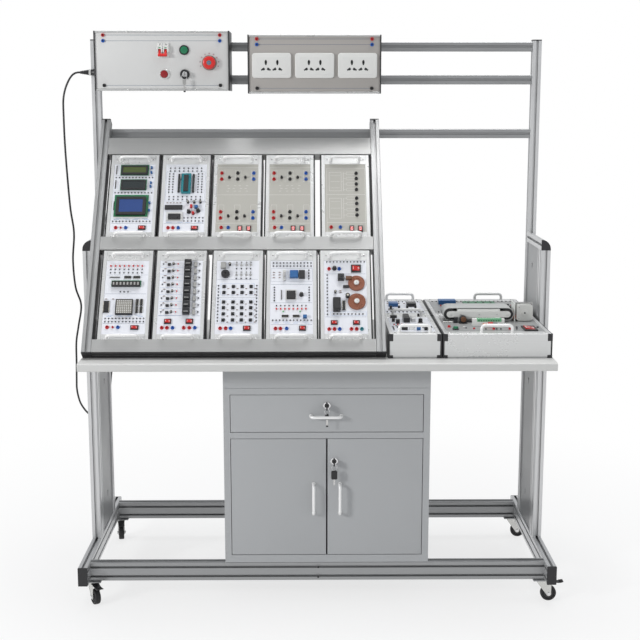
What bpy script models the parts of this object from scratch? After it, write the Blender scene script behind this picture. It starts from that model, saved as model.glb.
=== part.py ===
"""Microcontroller training bench: a wheeled frame of slotted profiles with a table, a cabinet,
a leaning rack of plug-in modules, two supply boxes, four table modules and a mains lead.

Metres, +Z up. X runs to the right, Y to the back, and the front faces -Y.
The origin lies on the floor, at the middle of the bench.
"""

import math

import bmesh
import bpy
from mathutils import Matrix, Vector

# Clearances
seat_gap = 0.0003
fuse_depth = 0.0005
cut_overrun = 0.001
round_sides = 16

# Slotted profile
profile_size = 0.030
double_size = 0.060
slot_mouth = 0.0082
slot_lip = 0.0020
slot_inner = 0.0165
slot_floor = 0.0100
slot_depth = 0.0090
profile_chamfer = 0.0015
cap_thickness = 0.0035

# Widths that add up to the rack: its posts, five modules and the gaps before each, left to right
module_face_width = 0.155
upper_module_gaps = (0.015, 0.013, 0.013, 0.015, 0.0255)
lower_module_gaps = (0.015, 0.013, 0.0224, 0.0133, 0.0123)
rack_end_gap = 0.008
rack_width = 2 * profile_size + sum(upper_module_gaps) + 5 * module_face_width + rack_end_gap

# Widths that add up to the bench: the rack, a narrow and a wide table module, and the room between
rack_side_room = 0.004
narrow_module_room = 0.0105
wide_module_room = 0.0116
wide_module_face = 0.325
wide_side_room = 0.0094
inner_width = (
    rack_side_room
    + rack_width
    + narrow_module_room
    + module_face_width
    + wide_module_room
    + wide_module_face
    + wide_side_room
)

# Overall bench
bench_width = inner_width + 2 * profile_size
bench_front = -0.320
bench_back = 0.380
rail_bottom = 0.075
post_front = -0.057
upright_front = 0.206
front_rail_front = -0.274
rear_rail_front = 0.309

# Guard rail and side panel
guard_height = 0.034
guard_flat = 0.004
guard_steps = 6
panel_thickness = 0.021
panel_tongue = 0.004
keyhole_depth = 0.006
keyhole_radius = 0.006
keyhole_slot = 0.0055
keyhole_drop = 0.016
keyhole_height_shares = (0.11, 0.52, 0.93)
keyhole_depth_share = 0.58

# Table
table_side_room = 0.002
table_width = inner_width - 2 * table_side_room
table_front = -0.380
table_back = 0.370
table_top_height = 0.800
table_thickness = 0.025
table_nose = 0.006
nose_steps = 4
post_overrise = 0.300
post_height = table_top_height + post_overrise

# Leaning rack, from its foot up: bottom band, modules, middle band, modules, top band, post ends
lean_deg = 36.2
rack_depth = 0.036
module_length = 0.328
bottom_band_height = 0.024
middle_band_height = 0.0285
band_lip_height = 0.018
band_lip_thickness = 0.002
top_band_height = 0.067
top_band_bevel = 0.005
lift_clearance = 0.0025
rack_post_overrun = 0.0734
rack_rest_inset = 0.0169
module_pitch = module_length + lift_clearance + seat_gap
bands_height = bottom_band_height + middle_band_height + top_band_height
rack_post_length = cap_thickness + bands_height + 2 * module_pitch + rack_post_overrun

# Cross rails between the uprights: the rack leans on the lower one, and the others rise over it
rack_rest_height = (rack_post_length - rack_rest_inset) * math.cos(math.radians(lean_deg))
lower_rail_rise = rack_rest_height - profile_size + seat_gap
middle_rail_rise = 0.178
top_rail_rise = 0.108
upright_overrise = 0.008
lower_rail_height = table_top_height + lower_rail_rise
middle_rail_height = lower_rail_height + middle_rail_rise
top_rail_height = middle_rail_height + top_rail_rise
upright_height = top_rail_height + profile_size + upright_overrise

# Cabinet
cabinet_left = -0.2915
cabinet_right = 0.3495
cabinet_front = -0.274
cabinet_back = 0.339
cabinet_wall = 0.0205
cabinet_back_wall = 0.006
cabinet_foot = 0.024
shelf_thickness = 0.019
drawer_height = 0.121
lintel_height = 0.095
lintel_groove_height = 0.074
groove_size = 0.0015
door_reveal = 0.0009
front_thickness = 0.018
drawer_depth = 0.450
drawer_wall = 0.010
drawer_tray_height = 0.085
drawer_side_room = 0.013
runner_height = 0.010
handle_drop_share = 0.56
door_handle_height_share = 0.49
door_handle_inset = 0.041
drawer_handle_shift = -0.002
lock_radius = 0.0115
lock_length = 0.004
drawer_lock_share = 0.28
door_lock_share = 0.19
door_lock_inset = 0.022

# Bow handle
handle_span = 0.103
handle_rise = 0.026
handle_radius = 0.004
handle_bend = 0.011
handle_sides = 6
handle_bend_steps = 3

# Castors
castor_reach_x = 0.715
castor_trail = 0.022
castor_headings_deg = {"front_left": -60, "front_right": 0, "rear_left": -80, "rear_right": -8}
castor_plate_length = 0.060
castor_plate_width = 0.050
castor_plate_thickness = 0.003
castor_head_radius = 0.0185
castor_head_height = 0.007
castor_leg_thickness = 0.002
castor_leg_end_radius = 0.008
castor_leg_root_share = 0.85
wheel_radius = 0.025
wheel_sides = 24
wheel_hub_half = 0.0102
wheel_tyre_half = 0.0095
wheel_web_half = 0.0065
wheel_hub_radius = 0.008
wheel_rim_radius = 0.0185
wheel_crown = 0.003
axle_radius = 0.003
axle_head_radius = 0.0055
axle_head_length = 0.003
brake_thickness = 0.0025
brake_half_width = 0.0105
brake_root_share = 0.25
brake_start_drop = 0.0045
brake_reach = 0.068
brake_bend_reach = 0.052
brake_bend_height = 0.060
brake_tip_height = 0.063

# Sides of the rack
rack_left = -inner_width / 2 + rack_side_room
rack_right = rack_left + rack_width

# Plug-in module
module_side_plate = 0.0045
module_side_recess = 0.002
module_depth = 0.0755
rack_module_depth = 0.0705
module_rim = 0.011
module_recess = 0.0012
module_handle_inset = 0.0215
upper_module_names = ("display", "controller", "supply_a", "supply_b", "dual_supply")
lower_module_names = ("indicator", "relay", "keypad", "signal", "motor")

# Parts on the modules
rocker_height = 0.007
display_height = 0.009
chip_height = 0.005
relay_height = 0.015
socket_height = 0.008
knob_height = 0.012
knob_radius = 0.006
post_radius = 0.0042
post_rise = 0.007
button_radius = 0.0045
button_rise = 0.005
buzzer_radius = 0.0134
buzzer_height = 0.010
disc_radius = 0.0265
disc_height = 0.006
disc_boss_radius = 0.008
disc_boss_height = 0.010
detail_sides = 8

# What each module carries. A block takes the left, right, low and high shares of its module's
# face, and a round part takes the shares of its middle.
display_shares = {
    "display": ((0.216, 0.784, 0.758, 0.870), (0.236, 0.752, 0.589, 0.697), (0.146, 0.826, 0.282, 0.512)),
    "indicator": ((0.215, 0.784, 0.604, 0.657), (0.323, 0.663, 0.308, 0.466)),
    "signal": ((0.648, 0.770, 0.698, 0.752),),
}
socket_shares = {
    "controller": ((0.413, 0.610, 0.556, 0.825),),
    "signal": ((0.389, 0.590, 0.463, 0.559),),
}
relay_middle_shares = [0.841 - 0.0733 * index for index in range(8)]
chip_shares = {
    "controller": ((0.097, 0.455, 0.372, 0.417), (0.145, 0.465, 0.242, 0.334)),
    "indicator": ((0.048, 0.215, 0.323, 0.439),),
    "relay": [(0.228, 0.291, middle - 0.011, middle + 0.011) for middle in relay_middle_shares],
    "keypad": ((0.154, 0.259, 0.796, 0.861),),
    "signal": ((0.313, 0.434, 0.263, 0.300), (0.532, 0.661, 0.263, 0.300)),
    "rear": ((0.25, 0.75, 0.45, 0.60),),
    "wide_rear": ((0.25, 0.75, 0.45, 0.60),),
}
relay_shares = {
    "relay": [(0.568, 0.779, middle - 0.029, middle + 0.029) for middle in relay_middle_shares],
    "signal": ((0.467, 0.629, 0.698, 0.774),),
    "motor": ((0.352, 0.471, 0.654, 0.715), (0.246, 0.403, 0.347, 0.484)),
    "board": ((0.405, 0.464, 0.503, 0.890),),
}
supply_rocker_shares = ((0.522, 0.626, 0.112, 0.177), (0.703, 0.806, 0.112, 0.177))
rocker_shares = {
    "display": ((0.652, 0.806, 0.123, 0.174),),
    "controller": ((0.650, 0.803, 0.129, 0.177),),
    "supply_a": supply_rocker_shares,
    "supply_b": supply_rocker_shares,
    "dual_supply": ((0.565, 0.665, 0.109, 0.178), (0.745, 0.845, 0.109, 0.178)),
    "indicator": ((0.639, 0.803, 0.142, 0.188),),
    "relay": ((0.211, 0.355, 0.203, 0.254), (0.636, 0.788, 0.203, 0.254)),
    "keypad": ((0.632, 0.781, 0.129, 0.181),),
    "signal": ((0.652, 0.790, 0.129, 0.180),),
    "motor": ((0.618, 0.817, 0.745, 0.828), (0.201, 0.339, 0.190, 0.236), (0.637, 0.774, 0.190, 0.236)),
    "conveyor": ((0.765, 0.915, 0.0725, 0.260),),
}
terminal_shares = {"conveyor": ((0.315, 0.625, 0.40, 0.46),)}
supply_row_shares = (0.785, 0.715, 0.336, 0.267)
supply_post_shares = [(across, along) for along in supply_row_shares for across in (0.168, 0.504, 0.839)]
supply_post_shares += [(0.194, 0.161), (0.338, 0.161)]
supply_tall_shares = [(across, along) for across in (0.329, 0.665) for along in (0.733, 0.288)]
dual_row_shares = (0.783, 0.721, 0.655, 0.592, 0.493, 0.431, 0.362, 0.299)
post_shares = {
    "supply_a": supply_post_shares,
    "supply_b": supply_post_shares,
    "dual_supply": [(0.728, along) for along in dual_row_shares] + [(0.197, 0.162), (0.384, 0.162)],
}
tall_post_shares = {"supply_a": supply_tall_shares, "supply_b": supply_tall_shares}
knob_shares = {
    "controller": ((0.60, 0.343), (0.69, 0.323), (0.79, 0.353)),
    "motor": ((0.283, 0.790),),
    "board": ((0.714, 0.582), (0.560, 0.582)),
}
toggle_column_shares = (0.469, 0.566, 0.663, 0.755)
toggle_shares = {"keypad": [(across, along) for along in (0.828, 0.720) for across in toggle_column_shares]}
key_column_shares = (0.231, 0.412, 0.593, 0.774)
key_row_shares = (0.597, 0.533, 0.432, 0.370, 0.306, 0.244)
key_shares = {"keypad": [(across, along) for along in key_row_shares for across in key_column_shares]}
lamp_shares = {
    "indicator": [(0.161 + 0.0907 * index, 0.819) for index in range(8)],
    "signal": [(0.203 + 0.0839 * index, 0.358) for index in range(8)],
}
buzzer_shares = {"keypad": ((0.253, 0.726),)}
disc_shares = {"motor": ((0.722, 0.627), (0.722, 0.431))}

# Supply box and outlet box on the upper rails
supply_left = rack_left
supply_width = 0.435
supply_drop = 0.130
supply_bottom = top_rail_height - supply_drop
supply_height = 0.188
outlet_gap = 0.0585
outlet_left = supply_left + supply_width + outlet_gap
outlet_width = 0.431
outlet_drop = 0.139
outlet_bottom = top_rail_height - outlet_drop
outlet_height = 0.185
box_depth = 0.130
box_end_plate = 0.004
box_end_proud = 0.0015
box_lip_height = 0.007
box_lip_proud = 0.0025
outlet_plate_width = 0.126
outlet_plate_height = 0.0795
outlet_plate_thickness = 0.008
outlet_plate_pitch = 0.1385
outlet_plate_corner = 0.012
outlet_plate_first = 0.0775
outlet_plate_rise = 0.088
jack_radius = 0.0055
jack_height = 0.008
jack_inset = 0.030
jack_rise_shares = (0.087, 0.835, 0.93)

# Controls on the supply box, from its lower left corner
button_ring_radius = 0.0155
button_ring_height = 0.005
button_face_radius = 0.0112
button_rise_out = 0.004
button_travel = 0.003
button_stem = 0.009
start_x = 0.290
start_z = 0.128
stop_x = 0.2246
stop_z = 0.052
key_x = 0.291
key_z = 0.0515
key_core_radius = 0.0085
key_core_rise = 0.004
key_plate_thickness = 0.0022
key_plate_width = 0.021
key_plate_length = 0.026
key_blade_width = 0.008
key_blade_length = 0.007
emergency_x = 0.3705
emergency_z = 0.0875
emergency_collar_radius = 0.024
emergency_collar_height = 0.003
emergency_head_radius = 0.0205
emergency_head_height = 0.013
emergency_head_crown = 0.004
emergency_stem_radius = 0.011
emergency_travel = 0.005
emergency_stem_depth = 0.014
breaker_x = 0.222
breaker_z = 0.127
breaker_width = 0.038
breaker_height = 0.046
breaker_rise = 0.006
breaker_nose_height = 0.026
breaker_nose_rise = 0.014
toggle_drum_radius = 0.008
toggle_drum_back = 0.005
toggle_width = 0.030
toggle_lever_length = 0.013
toggle_lever_half = 0.0021
toggle_rest_deg = 30

# Mains lead
gland_rise = 0.0602
gland_depth = 0.0227
gland_flange_radius = 0.014
gland_flange_length = 0.017
gland_cone_length = 0.012
gland_ring_radius = 0.0095
gland_ring_length = 0.008
gland_waist_radius = 0.0065
gland_waist_length = 0.002
boot_radius = 0.0085
boot_tip_radius = 0.0048
boot_rib_depth = 0.0009
boot_rib_pitch = 0.0056
boot_ribs = 5
cord_radius = 0.00325
cord_points = 80
coil_turns_each_layer = 2
coil_points_each_turn = 24
coil_turn_pitch = 0.0072
coil_layer_pitch = 0.0072
coil_middle_radius = 0.039
coil_centre_x = -0.585
coil_centre_y = 0.100
coil_lead = 0.0065
coil_exit = 0.054
coil_exit_shares = (0.4, 0.7, 1.0)
plug_tail_length = 0.014
plug_tail_radius = 0.0055
plug_body_length = 0.034
plug_half_width = 0.013
plug_half_height = 0.0095
plug_nose_share = 0.6
plug_pin_radius = 0.002
plug_pin_length = 0.019
plug_pin_spread = 0.0095

# Table modules
table_module_front = -0.304
table_module_gap = 0.0035
narrow_module_left = rack_right + narrow_module_room
wide_module_left = narrow_module_left + module_face_width + wide_module_room
rear_handle_shift = 0.062

# Conveyor on the wide table module, from the front left corner of its lid
conveyor_left = 0.0385
conveyor_length = 0.185
conveyor_back_room = 0.034
conveyor_axis_height = 0.0245
conveyor_width = 0.090
conveyor_front = module_length - conveyor_back_room - conveyor_width
roller_radius = 0.0185
roller_axle_radius = 0.003
roller_axle_length = 0.008
belt_thickness = 0.0015
belt_edge_room = 0.001
side_plate_thickness = 0.004
side_plate_half_height = 0.0095
bed_end_room = 0.004
bed_half_height = 0.0165
conveyor_foot_width = 0.020
motor_left = 0.254
motor_size = 0.052
motor_depth = 0.062
motor_setback = 0.007
motor_front = conveyor_front + motor_setback
motor_corner = 0.008
motor_rise = 0.0015
motor_boss_radius = 0.011
motor_boss_height = 0.002
bracket_left = 0.2465
bracket_width = 0.003
bracket_height = 0.058
terminal_height = 0.024


def clear_scene():
    for thing in list(bpy.data.objects):
        bpy.data.objects.remove(thing, do_unlink=True)


def make_material(name, colour, roughness, metallic):
    """A Principled finish with one colour."""
    finish = bpy.data.materials.new(name)
    finish.use_nodes = True
    shader = finish.node_tree.nodes["Principled BSDF"]
    shader.inputs["Base Color"].default_value = (*colour, 1.0)
    shader.inputs["Roughness"].default_value = roughness
    shader.inputs["Metallic"].default_value = metallic
    finish.diffuse_color = (*colour, 1.0)
    return finish


def mesh_object(name, shape, finish=None):
    """Turns a bmesh into an object whose faces all point out."""
    bmesh.ops.recalc_face_normals(shape, faces=shape.faces)
    mesh = bpy.data.meshes.new(name)
    shape.to_mesh(mesh)
    shape.free()
    thing = bpy.data.objects.new(name, mesh)
    bpy.context.scene.collection.objects.link(thing)
    if finish:
        mesh.materials.append(finish)
    return thing


def smooth(thing):
    thing.data.shade_smooth()
    thing.data.set_sharp_from_angle(angle=math.radians(35))


def helper(name, shape, target):
    """A hidden shape that a Boolean of its target reads."""
    tool = mesh_object(name, shape)
    tool.parent = target
    tool.hide_render = True
    tool.display_type = "WIRE"
    return tool


def combine(target, shape, operation, label):
    tool = helper(f"{target.name}_{label}", shape, target)
    modifier = target.modifiers.new(label, "BOOLEAN")
    modifier.operation = operation
    modifier.solver = "EXACT"
    modifier.object = tool


def fuse(target, shape, label="details"):
    combine(target, shape, "UNION", label)


def cut(target, shape, label="cuts"):
    combine(target, shape, "DIFFERENCE", label)


def place_on(axis, first, second, along):
    """A point from two coordinates across an axis and one along it."""
    if axis == "X":
        return (along, first, second)
    if axis == "Y":
        return (first, along, second)
    return (first, second, along)


def add_prism(shape, outline, low, high, axis="Z"):
    """A closed outline drawn out from low to high along an axis."""
    rings = []
    for along in (low, high):
        rings.append([shape.verts.new(place_on(axis, first, second, along)) for first, second in outline])
    count = len(outline)
    for index in range(count):
        after = (index + 1) % count
        shape.faces.new((rings[0][index], rings[0][after], rings[1][after], rings[1][index]))
    shape.faces.new(rings[0])
    shape.faces.new(rings[1])


def add_box(shape, low, high):
    outline = ((low[0], low[1]), (high[0], low[1]), (high[0], high[1]), (low[0], high[1]))
    add_prism(shape, outline, low[2], high[2])


def circle(centre, radius, sides, phase=0.0):
    points = []
    for step in range(sides):
        angle = phase + 2 * math.pi * step / sides
        points.append((centre[0] + radius * math.cos(angle), centre[1] + radius * math.sin(angle)))
    return points


def add_rod(shape, centre, radius, low, high, axis="Z", sides=round_sides):
    add_prism(shape, circle(centre, radius, sides, math.pi / sides), low, high, axis)


def add_turned(shape, profile, centre, axis="Z", sides=round_sides, bored=False):
    """Turns a profile of (radius, height) points about an axis; a solid one is closed by its ends."""
    rings = []
    for radius, height in profile:
        ring = circle(centre, radius, sides, math.pi / sides)
        rings.append([shape.verts.new(place_on(axis, first, second, height)) for first, second in ring])
    steps = len(rings) if bored else len(rings) - 1
    for index in range(steps):
        lower = rings[index]
        upper = rings[(index + 1) % len(rings)]
        for side in range(sides):
            after = (side + 1) % sides
            shape.faces.new((lower[side], lower[after], upper[after], upper[side]))
    if not bored:
        shape.faces.new(rings[0])
        shape.faces.new(rings[-1])


def rounded_rectangle(left, low, right, high, corner, steps=3):
    points = []
    centres = (
        (right - corner, high - corner, 0),
        (left + corner, high - corner, 1),
        (left + corner, low + corner, 2),
        (right - corner, low + corner, 3),
    )
    for middle_x, middle_y, quarter in centres:
        for step in range(steps + 1):
            angle = (quarter + step / steps) * math.pi / 2
            points.append((middle_x + corner * math.cos(angle), middle_y + corner * math.sin(angle)))
    return points


def slotted_side(corner, direction, length, slots):
    """One side of a profile: chamfered corners and undercut slots at an even pitch."""
    marks = [(profile_chamfer, 0)]
    for index in range(slots):
        middle = length * (index + 0.5) / slots
        steps = (
            (-slot_mouth / 2, 0),
            (-slot_mouth / 2, slot_lip),
            (-slot_inner / 2, slot_lip),
            (-slot_floor / 2, slot_depth),
            (slot_floor / 2, slot_depth),
            (slot_inner / 2, slot_lip),
            (slot_mouth / 2, slot_lip),
            (slot_mouth / 2, 0),
        )
        marks.extend((middle + along, deep) for along, deep in steps)
    marks.append((length - profile_chamfer, 0))
    inward = (-direction[1], direction[0])
    return [
        (
            corner[0] + direction[0] * along + inward[0] * deep,
            corner[1] + direction[1] * along + inward[1] * deep,
        )
        for along, deep in marks
    ]


def slotted_outline(left, low, right, high, wide_slots=1, tall_slots=1):
    wide = right - left
    tall = high - low
    return (
        slotted_side((left, low), (1, 0), wide, wide_slots)
        + slotted_side((right, low), (0, 1), tall, tall_slots)
        + slotted_side((right, high), (-1, 0), wide, wide_slots)
        + slotted_side((left, high), (0, -1), tall, tall_slots)
    )


def chamfered_outline(left, low, right, high):
    size = profile_chamfer
    return [
        (left + size, low),
        (right - size, low),
        (right, low + size),
        (right, high - size),
        (right - size, high),
        (left + size, high),
        (left, high - size),
        (left, low + size),
    ]


def make_rail(name, box, axis, slots, finish, low_cap=False, high_cap=False):
    """A slotted profile along an axis, with plastic end caps where they are asked for."""
    left, low, right, high, start, end = box
    inner_start = start + cap_thickness if low_cap else start
    inner_end = end - cap_thickness if high_cap else end
    shape = bmesh.new()
    add_prism(shape, slotted_outline(left, low, right, high, *slots), inner_start, inner_end, axis)
    rail = mesh_object(name, shape, finish)
    caps = bmesh.new()
    if low_cap:
        add_prism(caps, chamfered_outline(left, low, right, high), start, inner_start, axis)
    if high_cap:
        add_prism(caps, chamfered_outline(left, low, right, high), inner_end, end, axis)
    if low_cap or high_cap:
        fuse(rail, caps, "end_caps")
    else:
        caps.free()
    return rail


def bow_path(span, rise, bend):
    """The middle line of a bow handle: up, round, across, round and down, in x and z."""
    half = span / 2 - handle_radius
    top = rise - handle_radius
    points = [(-half, -fuse_depth), (-half, top - bend)]
    for step in range(1, handle_bend_steps + 1):
        angle = math.pi / 2 * step / handle_bend_steps
        points.append((-half + bend * (1 - math.cos(angle)), top - bend * (1 - math.sin(angle))))
    return points + [(-first, second) for first, second in reversed(points)]


def add_bow_handle(shape, middle, place=None):
    """A bow handle along x, standing up from z = 0, its feet either side of the middle."""
    path = bow_path(handle_span, handle_rise, handle_bend)
    rings = []
    for index, (first, second) in enumerate(path):
        before = path[max(index - 1, 0)]
        after = path[min(index + 1, len(path) - 1)]
        run = Vector((after[0] - before[0], 0, after[1] - before[1])).normalized()
        side = Vector((0, 1, 0))
        up = side.cross(run)
        ring = []
        for step in range(handle_sides):
            angle = 2 * math.pi * (step + 0.5) / handle_sides
            offset = side * (handle_radius * math.cos(angle)) + up * (handle_radius * math.sin(angle))
            point = Vector((middle[0] + first, middle[1], second)) + offset
            ring.append(shape.verts.new(place @ point if place else point))
        rings.append(ring)
    for lower, upper in zip(rings, rings[1:]):
        for step in range(handle_sides):
            after = (step + 1) % handle_sides
            shape.faces.new((lower[step], lower[after], upper[after], upper[step]))
    shape.faces.new(rings[0])
    shape.faces.new(rings[-1])


def make_base(finishes):
    """The four base rails. The cross rails carry the castors' fixed top plates."""
    half = bench_width / 2
    top = rail_bottom + double_size
    for side, left in (("left", -half), ("right", half - profile_size)):
        box = (left, rail_bottom, left + profile_size, top, bench_front, bench_back)
        make_rail(f"base_rail_{side}", box, "Y", (1, 2), finishes["aluminium"], True, True)
    reach = half - profile_size - seat_gap
    for place, front in (("front", front_rail_front), ("rear", rear_rail_front)):
        box = (front, rail_bottom, front + profile_size, top, -reach, reach)
        rail = make_rail(f"base_rail_{place}", box, "X", (1, 2), finishes["aluminium"])
        middle = front + profile_size / 2
        plates = bmesh.new()
        for sign in (-1, 1):
            centre = sign * castor_reach_x
            plate_top = rail_bottom - seat_gap
            low = (centre - castor_plate_length / 2, middle - castor_plate_width / 2)
            high = (centre + castor_plate_length / 2, middle + castor_plate_width / 2)
            add_box(plates, (*low, plate_top - castor_plate_thickness), (*high, plate_top))
        fuse(rail, plates, "castor_plates")
        pads = bmesh.new()
        for sign in (-1, 1):
            inner = sign * (castor_reach_x - castor_plate_length / 2)
            ends = sorted((inner, sign * reach))
            low = (ends[0], middle - profile_size / 2 + profile_chamfer, rail_bottom - seat_gap - fuse_depth)
            high = (ends[1], middle + profile_size / 2 - profile_chamfer, rail_bottom + fuse_depth)
            add_box(pads, low, high)
        fuse(rail, pads, "castor_pads")


def make_castor_fork(name, finish):
    """A swivelling fork with its brake pedal; its trail runs along +x from the swivel axis."""
    head_top = rail_bottom - castor_plate_thickness - 2 * seat_gap
    head_low = head_top - castor_head_height
    leg_inner = wheel_hub_half + seat_gap
    leg_outer = leg_inner + castor_leg_thickness
    shape = bmesh.new()
    add_rod(shape, (0, 0), castor_head_radius, head_low, head_top)
    fork = mesh_object(name, shape, finish)
    legs = bmesh.new()
    root = castor_head_radius * castor_leg_root_share
    outline = [(-root, head_low + castor_leg_thickness), (-root, head_low - castor_leg_thickness)]
    for step in range(7):
        angle = math.pi * (1.1 + step / 6)
        end_x = castor_trail + castor_leg_end_radius * math.cos(angle)
        outline.append((end_x, wheel_radius + castor_leg_end_radius * math.sin(angle)))
    outline.append((castor_trail + castor_leg_end_radius, head_low + castor_leg_thickness))
    for sign in (-1, 1):
        ends = sorted((sign * leg_inner, sign * leg_outer))
        add_prism(legs, outline, ends[0], ends[1], "Y")
    fuse(fork, legs, "legs")
    deck = bmesh.new()
    low = (-root, -leg_outer, head_low - fuse_depth)
    add_box(deck, low, (castor_trail, leg_outer, head_low + fuse_depth * 2))
    fuse(fork, deck, "deck")
    axle = bmesh.new()
    reach = leg_outer + axle_head_length
    centre = (castor_trail, wheel_radius)
    profile = (
        (axle_head_radius, -reach),
        (axle_head_radius, -leg_outer + fuse_depth),
        (axle_radius, -leg_outer + fuse_depth),
        (axle_radius, leg_outer - fuse_depth),
        (axle_head_radius, leg_outer - fuse_depth),
        (axle_head_radius, reach),
    )
    add_turned(axle, profile, centre, "Y", 12)
    fuse(fork, axle, "axle")
    pedal = bmesh.new()
    start = castor_trail * (1 - brake_root_share)
    low_start = head_low - brake_start_drop + brake_thickness
    line = (
        (start, head_low - fuse_depth),
        (start, head_low + fuse_depth * 2),
        (castor_trail, head_low + fuse_depth * 2),
        (brake_bend_reach, brake_bend_height + brake_thickness),
        (brake_reach, brake_tip_height + brake_thickness),
        (brake_reach, brake_tip_height),
        (brake_bend_reach, brake_bend_height),
        (castor_trail, low_start),
    )
    add_prism(pedal, line, -brake_half_width, brake_half_width, "Y")
    fuse(fork, pedal, "pedal")
    smooth(fork)
    return fork


def make_castor_wheel(name, finish):
    """A wheel about its own axle, with a hub, a web and a crowned tyre; a flat of it meets the floor."""
    rim = wheel_radius / math.cos(math.pi / wheel_sides)
    bore = axle_radius + seat_gap
    half_profile = (
        (bore, wheel_hub_half),
        (wheel_hub_radius, wheel_hub_half),
        (wheel_hub_radius, wheel_web_half),
        (wheel_rim_radius, wheel_web_half),
        (wheel_rim_radius, wheel_tyre_half),
        (rim - wheel_crown, wheel_tyre_half),
        (rim, wheel_tyre_half - wheel_crown),
    )
    profile = list(half_profile) + [(radius, -height) for radius, height in reversed(half_profile)]
    shape = bmesh.new()
    add_turned(shape, profile, (0, 0), "Y", wheel_sides, bored=True)
    wheel = mesh_object(name, shape, finish)
    smooth(wheel)
    return wheel


def make_castors(finishes):
    for place, heading in castor_headings_deg.items():
        row, side = place.split("_")
        front = front_rail_front if row == "front" else rear_rail_front
        stem_x = castor_reach_x * (1 if side == "right" else -1)
        fork = make_castor_fork(f"castor_fork_{place}", finishes["zinc"])
        fork.location = (stem_x, front + profile_size / 2, 0)
        fork.rotation_euler = (0, 0, math.radians(heading))
        wheel = make_castor_wheel(f"castor_wheel_{place}", finishes["rubber"])
        wheel.parent = fork
        wheel.location = (castor_trail, 0, wheel_radius)


def make_sides(finishes):
    """Front posts, uprights, the panel between them and the guard rail over it, on each side."""
    half = bench_width / 2
    top = rail_bottom + double_size + seat_gap
    for side, left in (("left", -half), ("right", half - profile_size)):
        right = left + profile_size
        post = (left, post_front, right, post_front + double_size, top, post_height - seat_gap)
        make_rail(f"front_post_{side}", post, "Z", (1, 2), finishes["aluminium"])
        upright = (left, upright_front, right, upright_front + profile_size, top, upright_height)
        make_rail(f"rear_upright_{side}", upright, "Z", (1, 1), finishes["aluminium"], False, True)
        make_side_panel(side, left + profile_size / 2, finishes["panel"])
        make_guard_rail(side, -1 if side == "left" else 1, finishes["aluminium"])


def make_side_panel(side, middle_x, finish):
    """A board between the posts, held by tongues in their slots, with keyholes for hanging things inside."""
    inward = 1 if side == "left" else -1
    reach = slot_depth - seat_gap
    front = post_front + double_size
    back = upright_front
    low = rail_bottom + double_size
    high = post_height - seat_gap
    half = panel_thickness / 2
    shape = bmesh.new()
    corner = (middle_x - half, front + seat_gap, low + seat_gap)
    add_box(shape, corner, (middle_x + half, back - seat_gap, high))
    panel = mesh_object(f"side_panel_{side}", shape, finish)
    tongue = bmesh.new()
    half_tongue = panel_tongue / 2
    add_box(
        tongue,
        (middle_x - half_tongue, front - reach, low - reach),
        (middle_x + half_tongue, back + reach, high - fuse_depth),
    )
    fuse(panel, tongue, "tongues")
    holes = bmesh.new()
    hole_y = front + (back - front) * keyhole_depth_share
    for share in keyhole_height_shares:
        hole_z = low + (high - low) * share
        outline = []
        for step in range(9):
            angle = math.radians(-60 + 300 * step / 8)
            across = hole_y + keyhole_radius * math.cos(angle)
            outline.append((across, hole_z + keyhole_radius * math.sin(angle)))
        slot = keyhole_slot / 2
        outline.append((hole_y - slot, hole_z - keyhole_drop))
        outline.append((hole_y + slot, hole_z - keyhole_drop))
        ends = sorted((middle_x + inward * (half - keyhole_depth), middle_x + inward * (half + cut_overrun)))
        add_prism(holes, outline, ends[0], ends[1], "X")
    cut(panel, holes, "keyholes")


def make_guard_rail(side, sign, finish):
    """A quarter-round rail over the panel: flat and slotted inside, rounded on top and outside."""
    inner = sign * (bench_width / 2 - profile_size)
    low = post_height
    middle = low + guard_height / 2
    curve = [(0, low), (profile_size, low), (profile_size, low + guard_flat)]
    for step in range(1, guard_steps + 1):
        angle = math.pi / 2 * step / guard_steps
        rise = guard_flat + (guard_height - guard_flat) * math.sin(angle)
        curve.append((profile_size * math.cos(angle), low + rise))
    slot = [
        (0, middle + slot_mouth / 2),
        (slot_lip, middle + slot_mouth / 2),
        (slot_lip, middle + slot_inner / 2),
        (slot_depth, middle + slot_floor / 2),
        (slot_depth, middle - slot_floor / 2),
        (slot_lip, middle - slot_inner / 2),
        (slot_lip, middle - slot_mouth / 2),
        (0, middle - slot_mouth / 2),
    ]
    outline = [(inner + sign * across, height) for across, height in curve + slot]
    plain = [(inner + sign * across, height) for across, height in curve]
    shape = bmesh.new()
    add_prism(shape, outline, post_front + cap_thickness, upright_front - seat_gap, "Y")
    rail = mesh_object(f"guard_rail_{side}", shape, finish)
    cap = bmesh.new()
    add_prism(cap, plain, post_front, post_front + cap_thickness, "Y")
    fuse(rail, cap, "end_cap")


def make_cross_rails(finish):
    reach = bench_width / 2 - profile_size - seat_gap
    heights = (("top", top_rail_height), ("middle", middle_rail_height), ("lower", lower_rail_height))
    for name, low in heights:
        box = (upright_front, low, upright_front + profile_size, low + profile_size, -reach, reach)
        make_rail(f"cross_rail_{name}", box, "X", (1, 1), finish)


def make_table(finish):
    """The table board, with a rounded front edge."""
    low = table_top_height - table_thickness
    outline = [(table_back, low), (table_back, table_top_height)]
    for corner_z, first_quarter in ((table_top_height - table_nose, 1), (low + table_nose, 2)):
        for step in range(nose_steps + 1):
            angle = (first_quarter + step / nose_steps) * math.pi / 2
            across = table_front + table_nose + table_nose * math.cos(angle)
            outline.append((across, corner_z + table_nose * math.sin(angle)))
    shape = bmesh.new()
    add_prism(shape, outline, -table_width / 2, table_width / 2, "X")
    mesh_object("table_top", shape, finish)


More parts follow.
